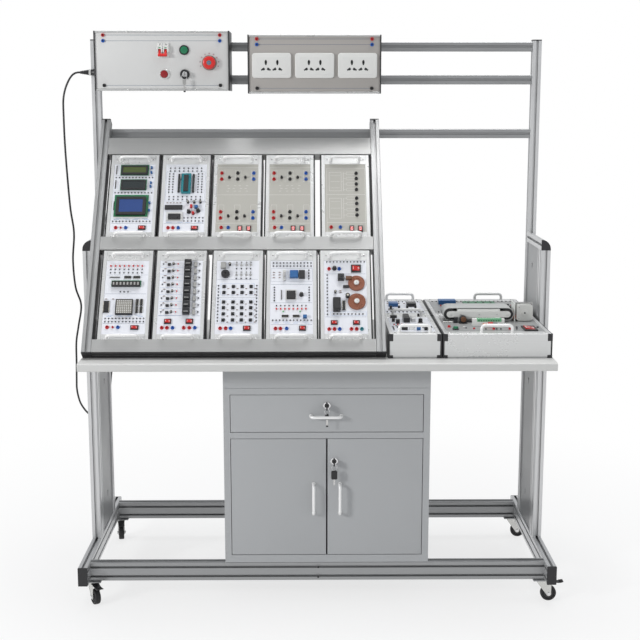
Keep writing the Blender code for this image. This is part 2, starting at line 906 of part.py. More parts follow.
def cabinet_heights():
    """The heights of the cabinet's levels, from the base rails up to the table."""
    low = rail_bottom + double_size + seat_gap
    high = table_top_height - table_thickness - seat_gap
    lintel_low = high - lintel_height
    shelf_top = lintel_low - drawer_height
    return {
        "low": low,
        "floor": low + cabinet_foot,
        "shelf_low": shelf_top - shelf_thickness,
        "shelf_top": shelf_top,
        "lintel_low": lintel_low,
        "high": high,
    }


def make_cabinet(finish):
    """The carcass: two cavities, open at the front, and the drawer's runners."""
    level = cabinet_heights()
    shape = bmesh.new()
    add_box(shape, (cabinet_left, cabinet_front, level["low"]), (cabinet_right, cabinet_back, level["high"]))
    carcass = mesh_object("cabinet_carcass", shape, finish)
    left = cabinet_left + cabinet_wall
    right = cabinet_right - cabinet_wall
    back = cabinet_back - cabinet_back_wall
    cavities = bmesh.new()
    for low, high in ((level["floor"], level["shelf_low"]), (level["shelf_top"], level["lintel_low"])):
        add_box(cavities, (left, cabinet_front - cut_overrun, low), (right, back, high))
    cut(carcass, cavities, "cavities")
    groove = bmesh.new()
    groove_z = level["high"] - lintel_groove_height
    low = (cabinet_left - cut_overrun, cabinet_front - cut_overrun, groove_z - groove_size)
    add_box(groove, low, (cabinet_right + cut_overrun, cabinet_front + groove_size, groove_z))
    cut(carcass, groove, "groove")
    runners = bmesh.new()
    run_start = cabinet_front + front_thickness + door_reveal
    for inner, sign in ((left, 1), (right, -1)):
        ends = sorted((inner - sign * fuse_depth, inner + sign * (drawer_side_room + drawer_wall)))
        low = (ends[0], run_start, level["shelf_top"] - fuse_depth)
        high = (ends[1], run_start + drawer_depth, level["shelf_top"] + runner_height)
        add_box(runners, low, high)
    fuse(carcass, runners, "runners")


def front_handle_place(centre_x, centre_z, upright):
    """Stands a bow handle off the cabinet's front, level or upright."""
    turn = Matrix.Rotation(math.radians(90), 4, "X")
    if upright:
        turn = Matrix.Rotation(math.radians(90), 4, "Y") @ turn
    return Matrix.Translation((centre_x, cabinet_front, centre_z)) @ turn


def make_drawer(finish):
    """The drawer: a front, and an open tray that slides on the runners."""
    level = cabinet_heights()
    left = cabinet_left + cabinet_wall
    right = cabinet_right - cabinet_wall
    low = level["shelf_top"] + door_reveal
    high = level["lintel_low"] - door_reveal
    back_of_front = cabinet_front + front_thickness
    shape = bmesh.new()
    add_box(shape, (left + door_reveal, cabinet_front, low), (right - door_reveal, back_of_front, high))
    drawer = mesh_object("drawer", shape, finish)
    tray_low = level["shelf_top"] + runner_height + seat_gap
    tray = bmesh.new()
    tray_left = left + drawer_side_room
    tray_right = right - drawer_side_room
    tray_back = back_of_front + drawer_depth
    tray_high = tray_low + drawer_tray_height
    add_box(tray, (tray_left, back_of_front - fuse_depth, tray_low), (tray_right, tray_back, tray_high))
    fuse(drawer, tray, "tray")
    hollow = bmesh.new()
    inner_low = (tray_left + drawer_wall, back_of_front, tray_low + drawer_wall)
    inner_high = (tray_right - drawer_wall, tray_back - drawer_wall, tray_high + cut_overrun)
    add_box(hollow, inner_low, inner_high)
    cut(drawer, hollow, "hollow")
    pull = bmesh.new()
    middle = (cabinet_left + cabinet_right) / 2
    handle_z = high - (high - low) * handle_drop_share
    add_bow_handle(pull, (0, 0), front_handle_place(middle + drawer_handle_shift, handle_z, False))
    fuse(drawer, pull, "handle")
    lock = bmesh.new()
    lock_z = high - (high - low) * drawer_lock_share
    lock_start = cabinet_front - lock_length
    add_rod(lock, (middle, lock_z), lock_radius, lock_start, cabinet_front + fuse_depth, "Y")
    fuse(drawer, lock, "lock")


def make_doors(finish):
    """Two inset doors, hinged at their outer front edges, each with an upright handle."""
    level = cabinet_heights()
    left = cabinet_left + cabinet_wall
    right = cabinet_right - cabinet_wall
    middle = (left + right) / 2
    low = level["floor"] + door_reveal
    high = level["shelf_low"] - door_reveal
    handle_z = low + (high - low) * door_handle_height_share
    for side, hinge_x, free_x in (("left", left, middle), ("right", right, middle)):
        toward = 1 if free_x > hinge_x else -1
        start = toward * door_reveal
        end = free_x - hinge_x - toward * door_reveal
        ends = sorted((start, end))
        shape = bmesh.new()
        add_box(shape, (ends[0], 0, low), (ends[1], front_thickness, high))
        door = mesh_object(f"door_{side}", shape, finish)
        door.location = (hinge_x, cabinet_front, 0)
        pull = bmesh.new()
        place = Matrix.Translation((-hinge_x, -cabinet_front, 0))
        place = place @ front_handle_place(free_x - toward * door_handle_inset, handle_z, True)
        add_bow_handle(pull, (0, 0), place)
        fuse(door, pull, "handle")
        if side == "right":
            lock = bmesh.new()
            lock_z = high - (high - low) * door_lock_share
            centre = (end - toward * door_lock_inset, lock_z)
            add_rod(lock, centre, lock_radius, -lock_length, fuse_depth, "Y")
            fuse(door, lock, "lock")


def module_outline(face_width, depth):
    """A module across its width: a recessed face between raised rims, and set-back side plates."""
    half = face_width / 2
    outer = half + module_side_plate
    return [
        (-outer, -depth),
        (outer, -depth),
        (outer, -module_side_recess),
        (half, -module_side_recess),
        (half, 0),
        (half - module_rim, 0),
        (half - module_rim, -module_recess),
        (-half + module_rim, -module_recess),
        (-half + module_rim, 0),
        (-half, 0),
        (-half, -module_side_recess),
        (-outer, -module_side_recess),
    ]


class Face:
    """Adds parts to a module's face, placed by shares of the face's width and length."""

    def __init__(self, width):
        self.width = width
        self.shape = bmesh.new()
        self.base = -module_recess - fuse_depth

    def across(self, share):
        return self.width * (share - 0.5)

    def block(self, shares, height):
        left, right, low, high = shares
        add_box(
            self.shape,
            (self.across(left), module_length * low, self.base),
            (self.across(right), module_length * high, height),
        )

    def knob(self, x_share, y_share, radius, height, sides=detail_sides):
        centre = (self.across(x_share), module_length * y_share)
        add_rod(self.shape, centre, radius, self.base, height, "Z", sides)


def dress_module(face, name):
    """Puts a module's own displays, chips, rockers, terminals and lamps on its face."""
    for table, height in (
        (display_shares, display_height),
        (socket_shares, socket_height),
        (chip_shares, chip_height),
        (relay_shares, relay_height),
        (rocker_shares, rocker_height),
        (terminal_shares, terminal_height),
    ):
        for shares in table.get(name, ()):
            face.block(shares, height)
    for table, radius, height, sides in (
        (knob_shares, knob_radius, knob_height, detail_sides),
        (tall_post_shares, post_radius, knob_height, detail_sides),
        (post_shares, post_radius, post_rise, detail_sides),
        (toggle_shares, post_radius / 2, knob_height, 6),
        (key_shares, button_radius, button_rise, 6),
        (lamp_shares, button_radius / 2, button_rise, 6),
        (buzzer_shares, buzzer_radius, buzzer_height, round_sides),
        (disc_shares, disc_radius, disc_height, 20),
        (disc_shares, disc_boss_radius, disc_boss_height, detail_sides),
    ):
        for x_share, y_share in table.get(name, ()):
            face.knob(x_share, y_share, radius, height, sides)


def make_module(
    name, face_width, finish, depth=module_depth, low_handle=True, high_handle=True, handle_shift=0.0
):
    """A plug-in module in its own frame: x from its middle, y up its length, z out of its face."""
    shape = bmesh.new()
    add_prism(shape, module_outline(face_width, depth), 0, module_length, "Y")
    module = mesh_object(name, shape, finish)
    ends = bmesh.new()
    inner = face_width / 2 - module_rim + fuse_depth
    for low in (0, module_length - module_end_band()):
        add_box(ends, (-inner, low, -module_recess - fuse_depth), (inner, low + module_end_band(), 0))
    fuse(module, ends, "end_bands")
    face = Face(face_width)
    dress_module(face, name.removesuffix("_module"))
    fuse(module, face.shape, "parts")
    handles = bmesh.new()
    if low_handle:
        add_bow_handle(handles, (handle_shift, module_handle_inset))
    if high_handle:
        add_bow_handle(handles, (handle_shift, module_length - module_handle_inset))
    if low_handle or high_handle:
        fuse(module, handles, "handles")
    else:
        handles.free()
    return module


def module_end_band():
    """The plain band at each end of a module, which carries its handle."""
    return module_handle_inset + handle_span / 7


def rack_levels():
    """Distances up the rack from its foot to its bands and its two rows of modules."""
    bottom_top = cap_thickness + bottom_band_height
    lower_row = bottom_top + seat_gap
    middle_low = lower_row + module_length + lift_clearance
    middle_top = middle_low + middle_band_height
    upper_row = middle_top + seat_gap
    top_low = upper_row + module_length + lift_clearance
    return {
        "bottom_low": cap_thickness,
        "bottom_top": bottom_top,
        "lower_row": lower_row,
        "middle_low": middle_low,
        "middle_top": middle_top,
        "upper_row": upper_row,
        "top_low": top_low,
        "top_high": top_low + top_band_height,
    }


def rack_frame():
    """An empty at the rack's foot: +y runs up the rack and +z out of the modules' faces.

    The rack stands on its rear lower corner and leans on the front top edge of the lower cross rail.
    """
    lean = math.radians(lean_deg)
    foot_z = table_top_height + seat_gap
    edge_z = lower_rail_height + profile_size
    rise = edge_z - foot_z
    foot_y = upright_front - (math.sin(lean) * rise + seat_gap) / math.cos(lean)
    normal = Vector((0, -math.cos(lean), math.sin(lean)))
    corner = Vector((0, foot_y, foot_z))
    frame = bpy.data.objects.new("rack_frame", None)
    bpy.context.scene.collection.objects.link(frame)
    frame.location = corner + normal * (rack_depth - band_lip_thickness - seat_gap)
    frame.rotation_euler = (math.pi / 2 - lean, 0, 0)
    return frame


def make_rack(finishes):
    """Two leaning posts, three bands between them and two rows of five modules."""
    frame = rack_frame()
    level = rack_levels()
    front = band_lip_thickness + seat_gap
    back = front - rack_depth
    for side, left in (("left", rack_left), ("right", rack_right - profile_size)):
        box = (left, back, left + profile_size, front, 0, rack_post_length)
        outline = slotted_outline(left, back, left + profile_size, front)
        shape = bmesh.new()
        add_prism_up(shape, outline, cap_thickness, rack_post_length - cap_thickness)
        post = mesh_object(f"rack_post_{side}", shape, finishes["aluminium"])
        caps = bmesh.new()
        plain = chamfered_outline(*box[:4])
        add_prism_up(caps, plain, 0, cap_thickness)
        add_prism_up(caps, plain, rack_post_length - cap_thickness, rack_post_length)
        fuse(post, caps, "end_caps")
        post.parent = frame
    left = rack_left + profile_size + seat_gap
    right = rack_right - profile_size - seat_gap
    bands = (
        ("bottom", level["bottom_low"], level["bottom_top"]),
        ("middle", level["middle_low"], level["middle_top"]),
    )
    for name, low, high in bands:
        lip = high + band_lip_height
        inner = front - band_lip_thickness
        outline = [(low, back), (high, back), (high, inner), (lip, inner), (lip, front), (low, front)]
        shape = bmesh.new()
        add_prism(shape, outline, left, right, "X")
        band = mesh_object(f"rack_{name}_band", shape, finishes["band"])
        band.parent = frame
    low = level["top_low"]
    high = level["top_high"]
    bevel = top_band_bevel
    outline = [(low, back), (high, back), (high, front - bevel), (high - bevel, front), (low, front)]
    shape = bmesh.new()
    add_prism(shape, outline, left, right, "X")
    band = mesh_object("rack_top_band", shape, finishes["band"])
    band.parent = frame
    rows = (
        (upper_module_names, upper_module_gaps, level["upper_row"]),
        (lower_module_names, lower_module_gaps, level["lower_row"]),
    )
    for names, gaps, low in rows:
        left = rack_left + profile_size
        for name, gap in zip(names, gaps):
            left += gap
            module = make_module(f"{name}_module", module_face_width, finishes["module"], rack_module_depth)
            module.parent = frame
            module.location = (left + module_face_width / 2, low, 0)
            left += module_face_width


def add_prism_up(shape, outline, low, high):
    """A prism whose outline lies across x and z, drawn along y."""
    add_prism(shape, outline, low, high, "Y")


def make_rail_box(name, left, width, low, height, finish):
    """A housing that hangs on the upper rails: lipped above and below, with proud end plates."""
    back = upright_front - seat_gap
    front = back - box_depth
    high = low + height
    recess = front + box_lip_proud
    outline = [
        (back, low),
        (back, high),
        (front, high),
        (front, high - box_lip_height),
        (recess, high - box_lip_height),
        (recess, low + box_lip_height),
        (front, low + box_lip_height),
        (front, low),
    ]
    shape = bmesh.new()
    add_prism(shape, outline, left + box_end_plate, left + width - box_end_plate, "X")
    housing = mesh_object(name, shape, finish)
    plates = bmesh.new()
    for start in (left, left + width - box_end_plate):
        plate = [
            (back, low),
            (back, high),
            (front - box_end_proud, high),
            (front - box_end_proud, low),
        ]
        add_prism(plates, plate, start, start + box_end_plate, "X")
    fuse(housing, plates, "end_plates")
    jacks = bmesh.new()
    for jack_x in (left + jack_inset, left + width - jack_inset):
        for share in jack_rise_shares:
            centre = (jack_x, low + height * share)
            add_rod(jacks, centre, jack_radius, recess - jack_height, recess + fuse_depth, "Y", detail_sides)
    fuse(housing, jacks, "jacks")
    return housing, recess


def gland_profile():
    """Radius and x along the mains gland: flange, cone, ring, waist and a ribbed boot that tapers."""
    cone_start = supply_left - gland_flange_length
    ring_start = cone_start - gland_cone_length
    waist_start = ring_start - gland_ring_length
    boot_start = waist_start - gland_waist_length
    profile = [
        (gland_flange_radius, supply_left + fuse_depth),
        (gland_flange_radius, cone_start),
        (gland_ring_radius, ring_start),
        (gland_ring_radius, waist_start),
        (gland_waist_radius, waist_start),
        (gland_waist_radius, boot_start),
    ]
    for rib in range(boot_ribs):
        radius = boot_radius + (boot_tip_radius - boot_radius) * rib / (boot_ribs - 1)
        rib_start = boot_start - boot_rib_pitch * rib
        profile.append((radius, rib_start))
        profile.append((radius, rib_start - boot_rib_pitch / 2))
        if rib < boot_ribs - 1:
            profile.append((radius - boot_rib_depth, rib_start - boot_rib_pitch / 2))
            profile.append((radius - boot_rib_depth, rib_start - boot_rib_pitch))
    profile.append((boot_tip_radius, gland_tip()))
    return profile


def gland_tip():
    """The x at which the lead leaves its boot."""
    stem = gland_flange_length + gland_cone_length + gland_ring_length + gland_waist_length
    return supply_left - stem - boot_rib_pitch * boot_ribs


def make_supply_box(finishes):
    """The box with the breaker, the buttons, the key switch and the mains gland."""
    housing, face_y = make_rail_box(
        "supply_box", supply_left, supply_width, supply_bottom, supply_height, finishes["box"]
    )
    fittings = bmesh.new()
    inner = face_y + fuse_depth
    rings = (
        (start_x, start_z, button_ring_radius, button_ring_height),
        (stop_x, stop_z, button_ring_radius, button_ring_height),
        (key_x, key_z, button_ring_radius, button_ring_height),
        (emergency_x, emergency_z, emergency_collar_radius, emergency_collar_height),
    )
    for ring_x, ring_z, radius, height in rings:
        centre = (supply_left + ring_x, supply_bottom + ring_z)
        add_rod(fittings, centre, radius, face_y - height, inner, "Y", 24)
    middle_x = supply_left + breaker_x
    middle_z = supply_bottom + breaker_z
    half = breaker_width / 2
    low = (middle_x - half, face_y - breaker_rise, middle_z - breaker_height / 2)
    add_box(fittings, low, (middle_x + half, inner, middle_z + breaker_height / 2))
    fuse(housing, fittings, "fittings")
    nose = bmesh.new()
    low = (middle_x - half, face_y - breaker_nose_rise, middle_z - breaker_nose_height / 2)
    high = (middle_x + half, face_y - breaker_rise + fuse_depth, middle_z + breaker_nose_height / 2)
    add_box(nose, low, high)
    fuse(housing, nose, "breaker_nose")
    bores = bmesh.new()
    deep = button_stem + button_travel + cut_overrun
    plain_bores = (
        (start_x, start_z, button_face_radius, face_y - button_ring_height, deep),
        (stop_x, stop_z, button_face_radius, face_y - button_ring_height, deep),
        (key_x, key_z, key_core_radius, face_y - button_ring_height, button_stem + seat_gap),
        (
            emergency_x,
            emergency_z,
            emergency_stem_radius,
            face_y - emergency_collar_height,
            emergency_stem_depth + emergency_travel + cut_overrun,
        ),
    )
    for bore_x, bore_z, radius, mouth, depth in plain_bores:
        centre = (supply_left + bore_x, supply_bottom + bore_z)
        add_rod(bores, centre, radius + seat_gap, mouth - cut_overrun, mouth + depth, "Y", 24)
    drum_y = face_y - breaker_nose_rise + toggle_drum_back
    drum_half = toggle_width / 2 + seat_gap
    centre = (drum_y, middle_z)
    add_rod(bores, centre, toggle_drum_radius + seat_gap, middle_x - drum_half, middle_x + drum_half, "X", 24)
    cut(housing, bores, "bores")
    gland = bmesh.new()
    gland_y = upright_front - seat_gap - gland_depth
    gland_z = supply_bottom + gland_rise
    add_turned(gland, gland_profile(), (gland_y, gland_z), "X", 12)
    fuse(housing, gland, "gland")
    smooth(housing)
    make_supply_controls(finishes, face_y)


def make_supply_controls(finishes, face_y):
    """The pieces that a hand moves: two push buttons, a key, a mushroom button and a toggle."""
    buttons = (("start_button", start_x, start_z, "green"), ("stop_button", stop_x, stop_z, "red"))
    for name, button_x, button_z, colour in buttons:
        mouth = face_y - button_ring_height
        shape = bmesh.new()
        crown = button_rise_out / 4
        profile = (
            (button_face_radius - crown, -button_rise_out),
            (button_face_radius, -button_rise_out + crown),
            (button_face_radius, button_stem),
        )
        add_turned(shape, profile, (0, 0), "Y", 24)
        button = mesh_object(name, shape, finishes[colour])
        button.location = (supply_left + button_x, mouth, supply_bottom + button_z)
        smooth(button)
    make_key(finishes["zinc"], face_y)
    shape = bmesh.new()
    low = -emergency_travel - seat_gap
    top = low - emergency_head_height
    profile = (
        (emergency_head_radius - emergency_head_crown * 2, top),
        (emergency_head_radius - emergency_head_crown / 2, top + emergency_head_crown / 2),
        (emergency_head_radius, top + emergency_head_crown),
        (emergency_head_radius, low),
        (emergency_stem_radius, low),
        (emergency_stem_radius, emergency_stem_depth),
    )
    add_turned(shape, profile, (0, 0), "Y", 24)
    mushroom = mesh_object("emergency_button", shape, finishes["red"])
    mouth = face_y - emergency_collar_height
    mushroom.location = (supply_left + emergency_x, mouth, supply_bottom + emergency_z)
    smooth(mushroom)
    make_toggle(finishes["red"], face_y)


def make_key(finish, face_y):
    """The turning core of the key switch with its key in it."""
    mouth = face_y - button_ring_height
    shape = bmesh.new()
    add_rod(shape, (0, 0), key_core_radius, -key_core_rise, button_stem, "Y", 24)
    key = mesh_object("switch_key", shape, finish)
    blade = bmesh.new()
    half = key_plate_thickness / 2
    blade_end = -key_core_rise - key_blade_length
    outline = [
        (-key_core_rise + fuse_depth, key_blade_width / 2),
        (blade_end, key_blade_width / 2),
        (blade_end, key_plate_width / 2),
        (blade_end - key_plate_length + key_blade_width, key_plate_width / 2),
        (blade_end - key_plate_length, key_blade_width / 2),
    ]
    outline += [(first, -second) for first, second in reversed(outline)]
    add_prism(blade, outline, -half, half, "X")
    fuse(key, blade, "key")
    key.location = (supply_left + key_x, mouth, supply_bottom + key_z)
    smooth(key)


def make_toggle(finish, face_y):
    """The ganged breaker toggle: a drum in its pocket with a lever, tipped down at rest."""
    shape = bmesh.new()
    add_rod(shape, (0, 0), toggle_drum_radius, -toggle_width / 2, toggle_width / 2, "X", 24)
    toggle = mesh_object("breaker_toggle", shape, finish)
    lever = bmesh.new()
    reach = toggle_drum_radius + toggle_lever_length
    outline = [
        (0, -toggle_lever_half),
        (0, toggle_lever_half),
        (-reach, toggle_lever_half),
        (-reach, -toggle_lever_half),
    ]
    add_prism(lever, outline, -toggle_width / 2, toggle_width / 2, "X")
    fuse(toggle, lever, "lever")
    drum_y = face_y - breaker_nose_rise + toggle_drum_back
    toggle.location = (supply_left + breaker_x, drum_y, supply_bottom + breaker_z)
    toggle.rotation_euler = (math.radians(toggle_rest_deg), 0, 0)
    smooth(toggle)


def make_outlet_box(finishes):
    """The box with three socket plates."""
    housing, face_y = make_rail_box(
        "outlet_box", outlet_left, outlet_width, outlet_bottom, outlet_height, finishes["outlet"]
    )
    plates = bmesh.new()
    for index in range(3):
        middle_x = outlet_left + outlet_plate_first + outlet_plate_pitch * index
        middle_z = outlet_bottom + outlet_plate_rise
        outline = rounded_rectangle(
            middle_x - outlet_plate_width / 2,
            middle_z - outlet_plate_height / 2,
            middle_x + outlet_plate_width / 2,
            middle_z + outlet_plate_height / 2,
            outlet_plate_corner,
        )
        add_prism(plates, outline, face_y - outlet_plate_thickness, face_y + fuse_depth, "Y")
    fuse(housing, plates, "socket_plates")


def make_table_modules(finishes):
    """Two narrow modules and two wide ones, lying on the table behind each other."""
    face_z = table_top_height + seat_gap + module_depth
    rear_front = table_module_front + module_length + table_module_gap
    narrow_x = narrow_module_left + module_face_width / 2
    wide_x = wide_module_left + wide_module_face / 2
    front = make_module("board_module", module_face_width, finishes["module"])
    front.location = (narrow_x, table_module_front, face_z)
    rear = make_module("rear_module", module_face_width, finishes["module"], low_handle=False)
    rear.location = (narrow_x, rear_front, face_z)
    wide = make_module(
        "wide_rear_module",
        wide_module_face,
        finishes["module"],
        low_handle=False,
        handle_shift=rear_handle_shift,
    )
    wide.location = (wide_x, rear_front, face_z)
    make_conveyor_module(finishes, (wide_x, table_module_front, face_z))


def make_conveyor_module(finishes, corner):
    """The wide module that carries a small belt conveyor: plates, bed, feet, motor and bracket."""
    module = make_module("conveyor_module", wide_module_face, finishes["module"], high_handle=False)
    module.location = corner
    edge = -wide_module_face / 2
    first_x = edge + conveyor_left
    last_x = first_x + conveyor_length
    front_y = conveyor_front
    back_y = front_y + conveyor_width
    axis_z = conveyor_axis_height
    base = -module_recess - fuse_depth
    bed = bmesh.new()
    bed_start = first_x + roller_radius + belt_thickness + bed_end_room
    bed_end = last_x - roller_radius - belt_thickness - bed_end_room
    low = (bed_start, front_y - fuse_depth, axis_z - bed_half_height)
    add_box(bed, low, (bed_end, back_y + fuse_depth, axis_z + bed_half_height))
    plates = bmesh.new()
    bar_low = axis_z - side_plate_half_height
    outline = []
    for centre_x, turn in ((last_x, -90), (first_x, 90)):
        for step in range(7):
            angle = math.radians(turn + 180 * step / 6)
            first = centre_x + side_plate_half_height * math.cos(angle)
            outline.append((first, axis_z + side_plate_half_height * math.sin(angle)))
    for foot_x in (bed_start, bed_end - conveyor_foot_width):
        foot_end = foot_x + conveyor_foot_width
        outline += [(foot_x, bar_low), (foot_x, base), (foot_end, base), (foot_end, bar_low)]
    for plate_y in (front_y - side_plate_thickness, back_y):
        add_prism(plates, outline, plate_y, plate_y + side_plate_thickness, "Y")
    fuse(module, plates, "side_plates")
    fuse(module, bed, "bed")
    holes = bmesh.new()
    reach = roller_axle_radius + seat_gap
    for centre_x in (first_x, last_x):
        low = front_y - side_plate_thickness - cut_overrun
        add_rod(holes, (centre_x, axis_z), reach, low, back_y + side_plate_thickness + cut_overrun, "Y")
    cut(module, holes, "axle_holes")
    make_motor(module, edge)
    for name, centre_x in (("idler_roller", first_x), ("drive_roller", last_x)):
        make_roller(name, (corner[0] + centre_x, corner[1] + front_y, corner[2] + axis_z), finishes["rubber"])
    make_belt(corner, first_x, last_x, front_y, axis_z, finishes["belt"])


def make_motor(module, edge):
    """The square gear motor and the bracket plate beside it, on the wide module's lid."""
    base = -module_recess - fuse_depth
    left = edge + motor_left
    motor = bmesh.new()
    outline = rounded_rectangle(left, motor_rise, left + motor_size, motor_rise + motor_size, motor_corner)
    add_prism(motor, outline, motor_front, motor_front + motor_depth, "Y")
    fuse(module, motor, "motor")
    parts = bmesh.new()
    foot = motor_corner
    low = (left + foot, motor_front + foot, base)
    add_box(parts, low, (left + motor_size - foot, motor_front + motor_depth - foot, motor_rise + fuse_depth))
    centre = (left + motor_size / 2, motor_rise + motor_size / 2)
    boss_end = motor_front - motor_boss_height
    add_rod(parts, centre, motor_boss_radius, boss_end, motor_front + fuse_depth, "Y")
    bracket_x = edge + bracket_left
    low = (bracket_x, motor_front, base)
    add_box(parts, low, (bracket_x + bracket_width, motor_front + motor_depth, bracket_height))
    fuse(module, parts, "motor_parts")


def make_roller(name, place, finish):
    """A drum with an axle stub at each end, turning in the conveyor's side plates."""
    low = belt_edge_room / 2
    high = conveyor_width - belt_edge_room / 2
    profile = (
        (roller_axle_radius, -roller_axle_length / 2),
        (roller_axle_radius, low),
        (roller_radius, low),
        (roller_radius, high),
        (roller_axle_radius, high),
        (roller_axle_radius, conveyor_width + roller_axle_length / 2),
    )
    shape = bmesh.new()
    add_turned(shape, profile, (0, 0), "Y", 20)
    roller = mesh_object(name, shape, finish)
    roller.location = place
    smooth(roller)


def make_belt(corner, first_x, last_x, front_y, axis_z, finish):
    """A closed belt round both drums."""
    loops = []
    inner = roller_radius + seat_gap
    for radius in (inner, inner + belt_thickness):
        outline = []
        for centre_x, turn in ((last_x, -90), (first_x, 90)):
            for step in range(11):
                angle = math.radians(turn + 180 * step / 10)
                first = corner[0] + centre_x + radius * math.cos(angle)
                outline.append((first, corner[2] + axis_z + radius * math.sin(angle)))
        loops.append(outline)
    low = corner[1] + front_y + belt_edge_room
    high = corner[1] + front_y + conveyor_width - belt_edge_room
    shape = bmesh.new()
    rings = []
    for outline, along in ((loops[0], low), (loops[1], low), (loops[1], high), (loops[0], high)):
        rings.append([shape.verts.new(place_on("Y", first, second, along)) for first, second in outline])
    count = len(loops[0])
    for index, ring in enumerate(rings):
        following = rings[(index + 1) % 4]
        for step in range(count):
            after = (step + 1) % count
            shape.faces.new((ring[step], ring[after], following[after], following[step]))
    belt = mesh_object("conveyor_belt", shape, finish)
    smooth(belt)


def cord_object(name, points, bevel_resolution, finish):
    """A tube along a list of points, with filled ends."""
    curve = bpy.data.curves.new(name, "CURVE")
    curve.dimensions = "3D"
    curve.bevel_depth = cord_radius
    curve.bevel_resolution = bevel_resolution
    curve.use_fill_caps = True
    spline = curve.splines.new("POLY")
    spline.points.add(len(points) - 1)
    for target, point in zip(spline.points, points):
        target.co = (*point, 1)
    curve.materials.append(finish)
    cord = bpy.data.objects.new(name, curve)
    bpy.context.scene.collection.objects.link(cord)
    return cord


def smooth_route(points, count):
    """Even points along a centripetal curve through the route's own points."""
    knots = [points[0] * 2 - points[1], *points, points[-1] * 2 - points[-2]]
    dense = []
    for index in range(1, len(knots) - 2):
        before, start, end, after = knots[index - 1 : index + 3]
        for step in range(20):
            share = step / 20
            dense.append(
                0.5
                * (
                    2 * start
                    + (end - before) * share
                    + (2 * before - 5 * start + 4 * end - after) * share**2
                    + (3 * start - before - 3 * end + after) * share**3
                )
            )
    dense.append(points[-1])
    marks = [0.0]
    for first, second in zip(dense, dense[1:]):
        marks.append(marks[-1] + (second - first).length)
    even = []
    index = 0
    for step in range(count):
        target = marks[-1] * step / (count - 1)
        while index < len(marks) - 2 and marks[index + 1] < target:
            index += 1
        span = marks[index + 1] - marks[index]
        share = (target - marks[index]) / span if span else 0
        even.append(dense[index].lerp(dense[index + 1], share))
    return even


def coil_points():
    """Two layers of turns: inwards on the table, up a layer, and outwards on top of it."""
    low_z = table_top_height + cord_radius + seat_gap
    outer = coil_middle_radius + coil_turn_pitch * (coil_turns_each_layer - 1) / 2
    steps = coil_points_each_turn
    points = [Vector((coil_centre_x - coil_lead, coil_centre_y + outer, low_z))]
    total = steps * (2 * coil_turns_each_layer)
    half_climb = steps / 4
    middle = total / 2
    for step in range(total + 1):
        turned = min(step, total - step) / steps
        radius = outer - coil_turn_pitch * turned
        rise = min(max((step - middle + half_climb) / (2 * half_climb), 0), 1)
        eased = rise * rise * (3 - 2 * rise)
        angle = math.pi / 2 - 2 * math.pi * step / steps
        points.append(
            Vector(
                (
                    coil_centre_x + radius * math.cos(angle),
                    coil_centre_y + radius * math.sin(angle),
                    low_z + coil_layer_pitch * eased,
                )
            )
        )
    for reach in (coil_lead, *(coil_exit * share for share in coil_exit_shares)):
        points.append(Vector((coil_centre_x + reach, coil_centre_y + outer, low_z + coil_layer_pitch)))
    return points


def print_least_gap(points):
    """Prints the coil's least gap to itself, measured on points along its middle line."""
    least = None
    skip = coil_points_each_turn // 2
    fine = []
    for first, second in zip(points, points[1:]):
        fine.extend(first.lerp(second, step / 3) for step in range(3))
    for index, point in enumerate(fine):
        for other in fine[index + skip * 3 :]:
            gap = (point - other).length - 2 * cord_radius
            least = gap if least is None else min(least, gap)
    print(f"least gap of the coil to itself: {least * 1000:.2f} mm")


